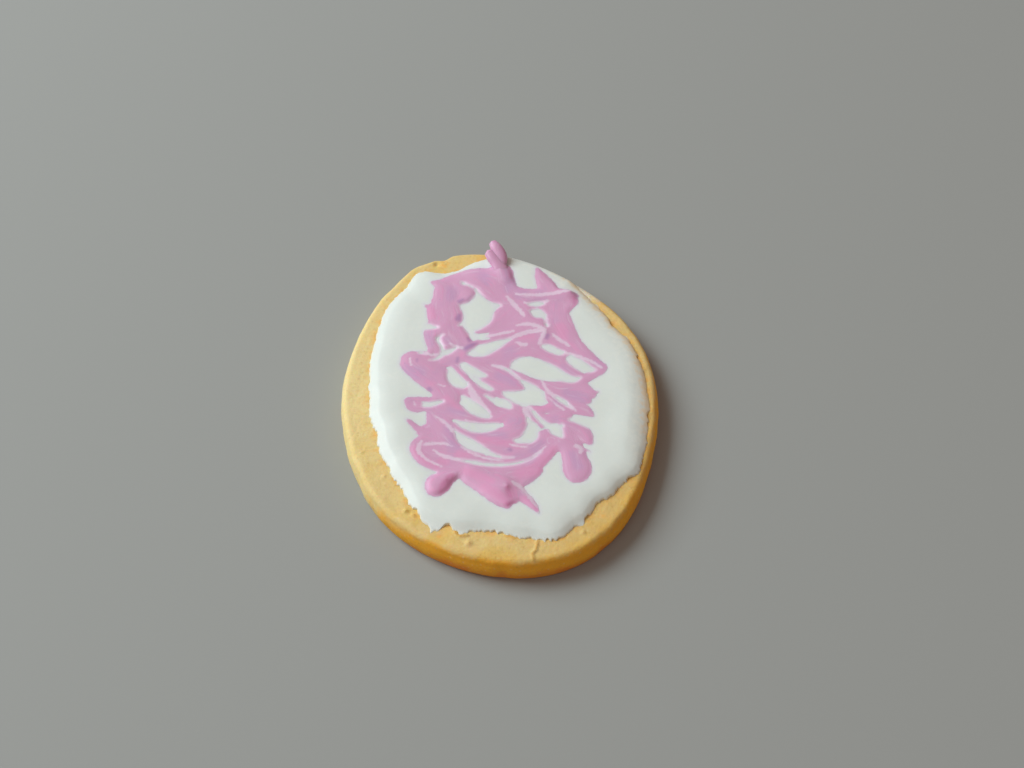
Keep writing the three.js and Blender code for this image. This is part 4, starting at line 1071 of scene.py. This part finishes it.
def lattice_shell(cells, top, bottom, x, y):
    """Two sheets over the chosen lattice cells, the lower one turned over, and a wall along each cell
    side that has no neighbour. Gives the points, the faces and the lattice numbers of the points."""
    rows, columns = top.shape
    corner = np.arange(rows * columns).reshape(rows, columns)[:-1, :-1][cells]
    quads = np.stack([corner, corner + 1, corner + 1 + columns, corner + columns], 1)
    fringe = np.pad(cells, 1)
    walls = []
    for shift_row, shift_column, first, second in ((-1, 0, 0, 1), (0, 1, 1, 2), (1, 0, 2, 3), (0, -1, 3, 0)):
        beside = np.roll(fringe, (-shift_row, -shift_column), (0, 1))[1:-1, 1:-1]
        walls.append(quads[~beside[cells]][:, [first, second]])
    used, place = np.unique(quads, return_inverse=True)
    quads = place.reshape(quads.shape)
    first, second = np.searchsorted(used, np.concatenate(walls)).T
    under = len(used)
    wall_quads = np.stack([second, first, first + under, second + under], 1)
    faces = np.concatenate([quads, quads[:, ::-1] + under, wall_quads])
    sheets = [np.column_stack([part.ravel()[used] for part in (x, y, level)]) for level in (top, bottom)]
    return np.vstack(sheets), faces.tolist(), used


def swept(line):
    """An oval carried along a line and closed to a point at both ends. Each ring stands square to the
    line, its half width level and its half height square to both. Gives points, faces, and the
    distance across and along."""
    stations = smooth_line(line, TAIL_PER_SPAN)
    middle, half_width, half_height = stations[:, None, :3], stations[:, 3, None], stations[:, 4, None]
    heading = np.gradient(stations[:, :3], axis=0)
    heading /= np.linalg.norm(heading, axis=1)[:, None]
    sideways = np.cross([0, 0, 1.0], heading)
    sideways /= np.linalg.norm(sideways, axis=1)[:, None]
    upright = np.cross(heading, sideways)
    turn = full_turn(TAIL_AROUND)
    wide, tall = half_width * np.cos(turn), half_height * np.sin(turn)
    rings = middle + wide[..., None] * sideways[:, None] + tall[..., None] * upright[:, None]
    first_tip = stations[0, :3] - heading[0] * stations[0, 3] * TAIL_TIPS[0]
    last_tip = stations[-1, :3] + heading[-1] * stations[-1, 3] * TAIL_TIPS[1]
    along = np.repeat(np.arange(len(stations)) * TAIL_STREAK_STEP, TAIL_AROUND)
    across, along = (np.append(values, [0, 0]) for values in (wide, along))
    faces = turned_faces(len(stations), TAIL_AROUND)
    return np.vstack([rings.reshape(-1, 3), first_tip, last_tip]), faces, across, along


def swirl_fields(x, y):
    """All strokes and drags on the lattice. A stroke rises over its width as one less the cube of the
    share left to its middle. Gives the distance outside the mauve's edge, its height, the streak
    coordinates of the stroke on top, and the distance outside the nearest drag."""
    edge = np.full(x.shape, FAR_OFF)
    height, across, along = np.zeros((3, *x.shape))
    for number, (rise, *line) in enumerate(MAUVE_STROKES):
        outside, side, length, width = drawn(line, x, y)
        depth = np.clip(-outside / np.maximum(width, LEAST_RISE_WIDTH), 0, 1)
        lift = rise * (1 - (1 - depth) ** 3)
        on_top = lift > height
        across = np.where(on_top, side + STREAK_JUMP[0] * number, across)
        along = np.where(on_top, length + STREAK_JUMP[1] * number, along)
        height = np.maximum(height, lift)
        edge = run_together(edge, outside, STROKE_BLEND)
    drag = nearest_line(WHITE_DRAGS, x, y)
    wobble = sum(rise * level_ripples(x, y, *ripple) for rise, ripple in WOBBLES)
    return wobble - run_together(-edge, drag, DRAG_BLEND), height, across, along, drag


def smoothed(values, times_over):
    """Each lattice point becomes the mean of itself and its two neighbours along each axis, as many
    times as asked."""
    for _ in range(times_over):
        for axis in (0, 1):
            values = (np.roll(values, 1, axis) + 2 * values + np.roll(values, -1, axis)) / 4
    return values


def build_swirl():
    """The mauve over the lattice: the white's own height, plus the strokes' rise, which comes up from
    nothing within the shore, plus the peaks, and diving under the white beyond its edge. Gives the
    points, faces and fields, and the lattice with its distance outside the edge."""
    columns, rows = (np.arange(*ends, LATTICE_STEP) for ends in (LATTICE_X, LATTICE_Y))
    x, y = np.meshgrid(columns, rows)
    edge, height, across, along, drag = swirl_fields(x, y)
    height = smoothed(height, SMOOTHED["height"])
    for peak_x, peak_y, radius, rise, steep in MAUVE_PEAKS:
        away = np.hypot(x - peak_x, y - peak_y)
        lean = np.cos(np.arctan2(y - peak_y, x - peak_x) - np.radians(steep))
        height = height + rise * np.exp(-away / radius * (PEAK_FALL[0] + PEAK_FALL[1] * lean))
    covered = np.clip(0.5 - edge / LATTICE_STEP, 0, 1)
    shore = np.clip(2 * smoothed(covered, SMOOTHED["shore"]) - 1, 0, 1)
    edge = edge - SPREAD
    lift = SHORE_STEP[0] * np.clip(-edge * SHORE_STEP[1], 0, 1) + height * (3 - 2 * shore) * shore**2
    level = sheet_top(x, y)
    top = level + np.where(edge > 0, -SHORE_DIVE * edge, lift)
    bottom = np.maximum(level - MAUVE_BODY, BISCUIT_THICKNESS + MAUVE_KEPT_UP)
    near = edge < SHORE
    cells = near[:-1, :-1] & near[1:, :-1] & near[1:, 1:] & near[:-1, 1:]
    points, faces, used = lattice_shell(cells, top, bottom, x, y)
    fields = {"across": across, "along": along, "from_drag": drag}
    fields["cover"] = smoothed(covered, SMOOTHED["cover"])
    fields |= {name: nearest_line(lines, x, y) for name, lines in TINT_RUNS.items()}
    fields = {name: np.tile(values.ravel()[used], 2) for name, values in fields.items()}
    for line in (TAIL, TAIL_LOBE):
        part, part_faces, across, along = swept(line)
        faces += [[corner + len(points) for corner in face] for face in part_faces]
        points = np.vstack([points, part])
        own = {"across": across, "along": along, "cover": np.ones(len(part))}
        far_off = np.full(len(part), FAR_OFF)
        fields = {name: np.append(values, own.get(name, far_off)) for name, values in fields.items()}
    return points, faces, fields, (columns, rows, edge)


def lattice_value(lattice, points):
    """The lattice's value at the nearest lattice point, which for places beyond it is on its border."""
    columns, rows, values = lattice
    column = np.round((points[:, 0] - columns[0]) / LATTICE_STEP).astype(int)
    row = np.round((points[:, 1] - rows[0]) / LATTICE_STEP).astype(int)
    return values[np.clip(row, 0, len(rows) - 1), np.clip(column, 0, len(columns) - 1)]


def mauve_sugar():
    """Mauve with fine streaks that follow each stroke, pink and violet runs, pale wisps where white
    was carried along, and deep purple specks. Two pale runs are painted highlight; two violet runs,
    the magenta and the deep purple in hollows are painted shade."""
    material, tree, shader = new_material("mauve_sugar_icing")
    place = node(tree, "ShaderNodeTexCoord").outputs["Object"]
    stretched = {"X": field(tree, "across"), "Y": times(field(tree, "along"), 0.12)}
    streaks = noise(node(tree, "ShaderNodeCombineXYZ", stretched).outputs["Vector"], 1.3)
    broad = noise(place, 150, 2)
    fine = noise(place, 1500)
    colour = layered(MAUVE, [
        (ranged(broad, 0.52, 0.72, 0.6), MAUVE_VIOLET),
        (ranged(field(tree, "from_violet"), 0.8, -0.8, 0.7), MAUVE_VIOLET),
        (ranged(streaks, 0.5, 0.75, 0.7), MAUVE_PINK),
        (ranged(streaks, 0.44, 0.28, 0.28), MAUVE_PALE),
        (ranged(field(tree, "from_warm"), 0.7, -0.7, 0.8), MAUVE_PINK),
        # painted shade on the side of thick icing away from the light
        (ranged(field(tree, "from_magenta"), 0.4, -0.6, 0.5), MAUVE_MAGENTA),
        (ranged(field(tree, "from_drag"), 0.6, -0.05, 0.65), MAUVE_PALE),
        # pale wisps, and painted highlights on the band's ridge and a peak's tip
        (ranged(frayed(field(tree, "from_wisp"), fine, 0.12), 0.25, -0.25, 0.7), MAUVE_PALE),
        # painted shade in the hollows
        (ranged(field(tree, "from_deep"), 0.5, -0.5, 0.55), MAUVE_HOLLOW_SHADE_AND_SPECKS),
        (times(grain_mask(place, *MAUVE_SPECKS), 0.6), MAUVE_HOLLOW_SHADE_AND_SPECKS),
        (ranged(frayed(field(tree, "cover"), fine, 0.08), 0.72, 0.12), MAUVE_SHORE),
    ])
    height = plus(times(streaks, 0.8), times(fine, 0.2))
    finish(shader, colour, ranged(broad, 0.35, 0.65, 0.5, 0.4), height, MAUVE_SKIN)
    return material


swirl_points, swirl_faces, swirl_values, swirl_lattice = build_swirl()
set_field(white_icing, "swirl_distance", lattice_value(swirl_lattice, white_points))
mauve_icing = new_piece("mauve_icing", swirl_points, swirl_faces, mauve_sugar(), swirl_values)
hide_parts("icing")
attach(mauve_icing, "root")
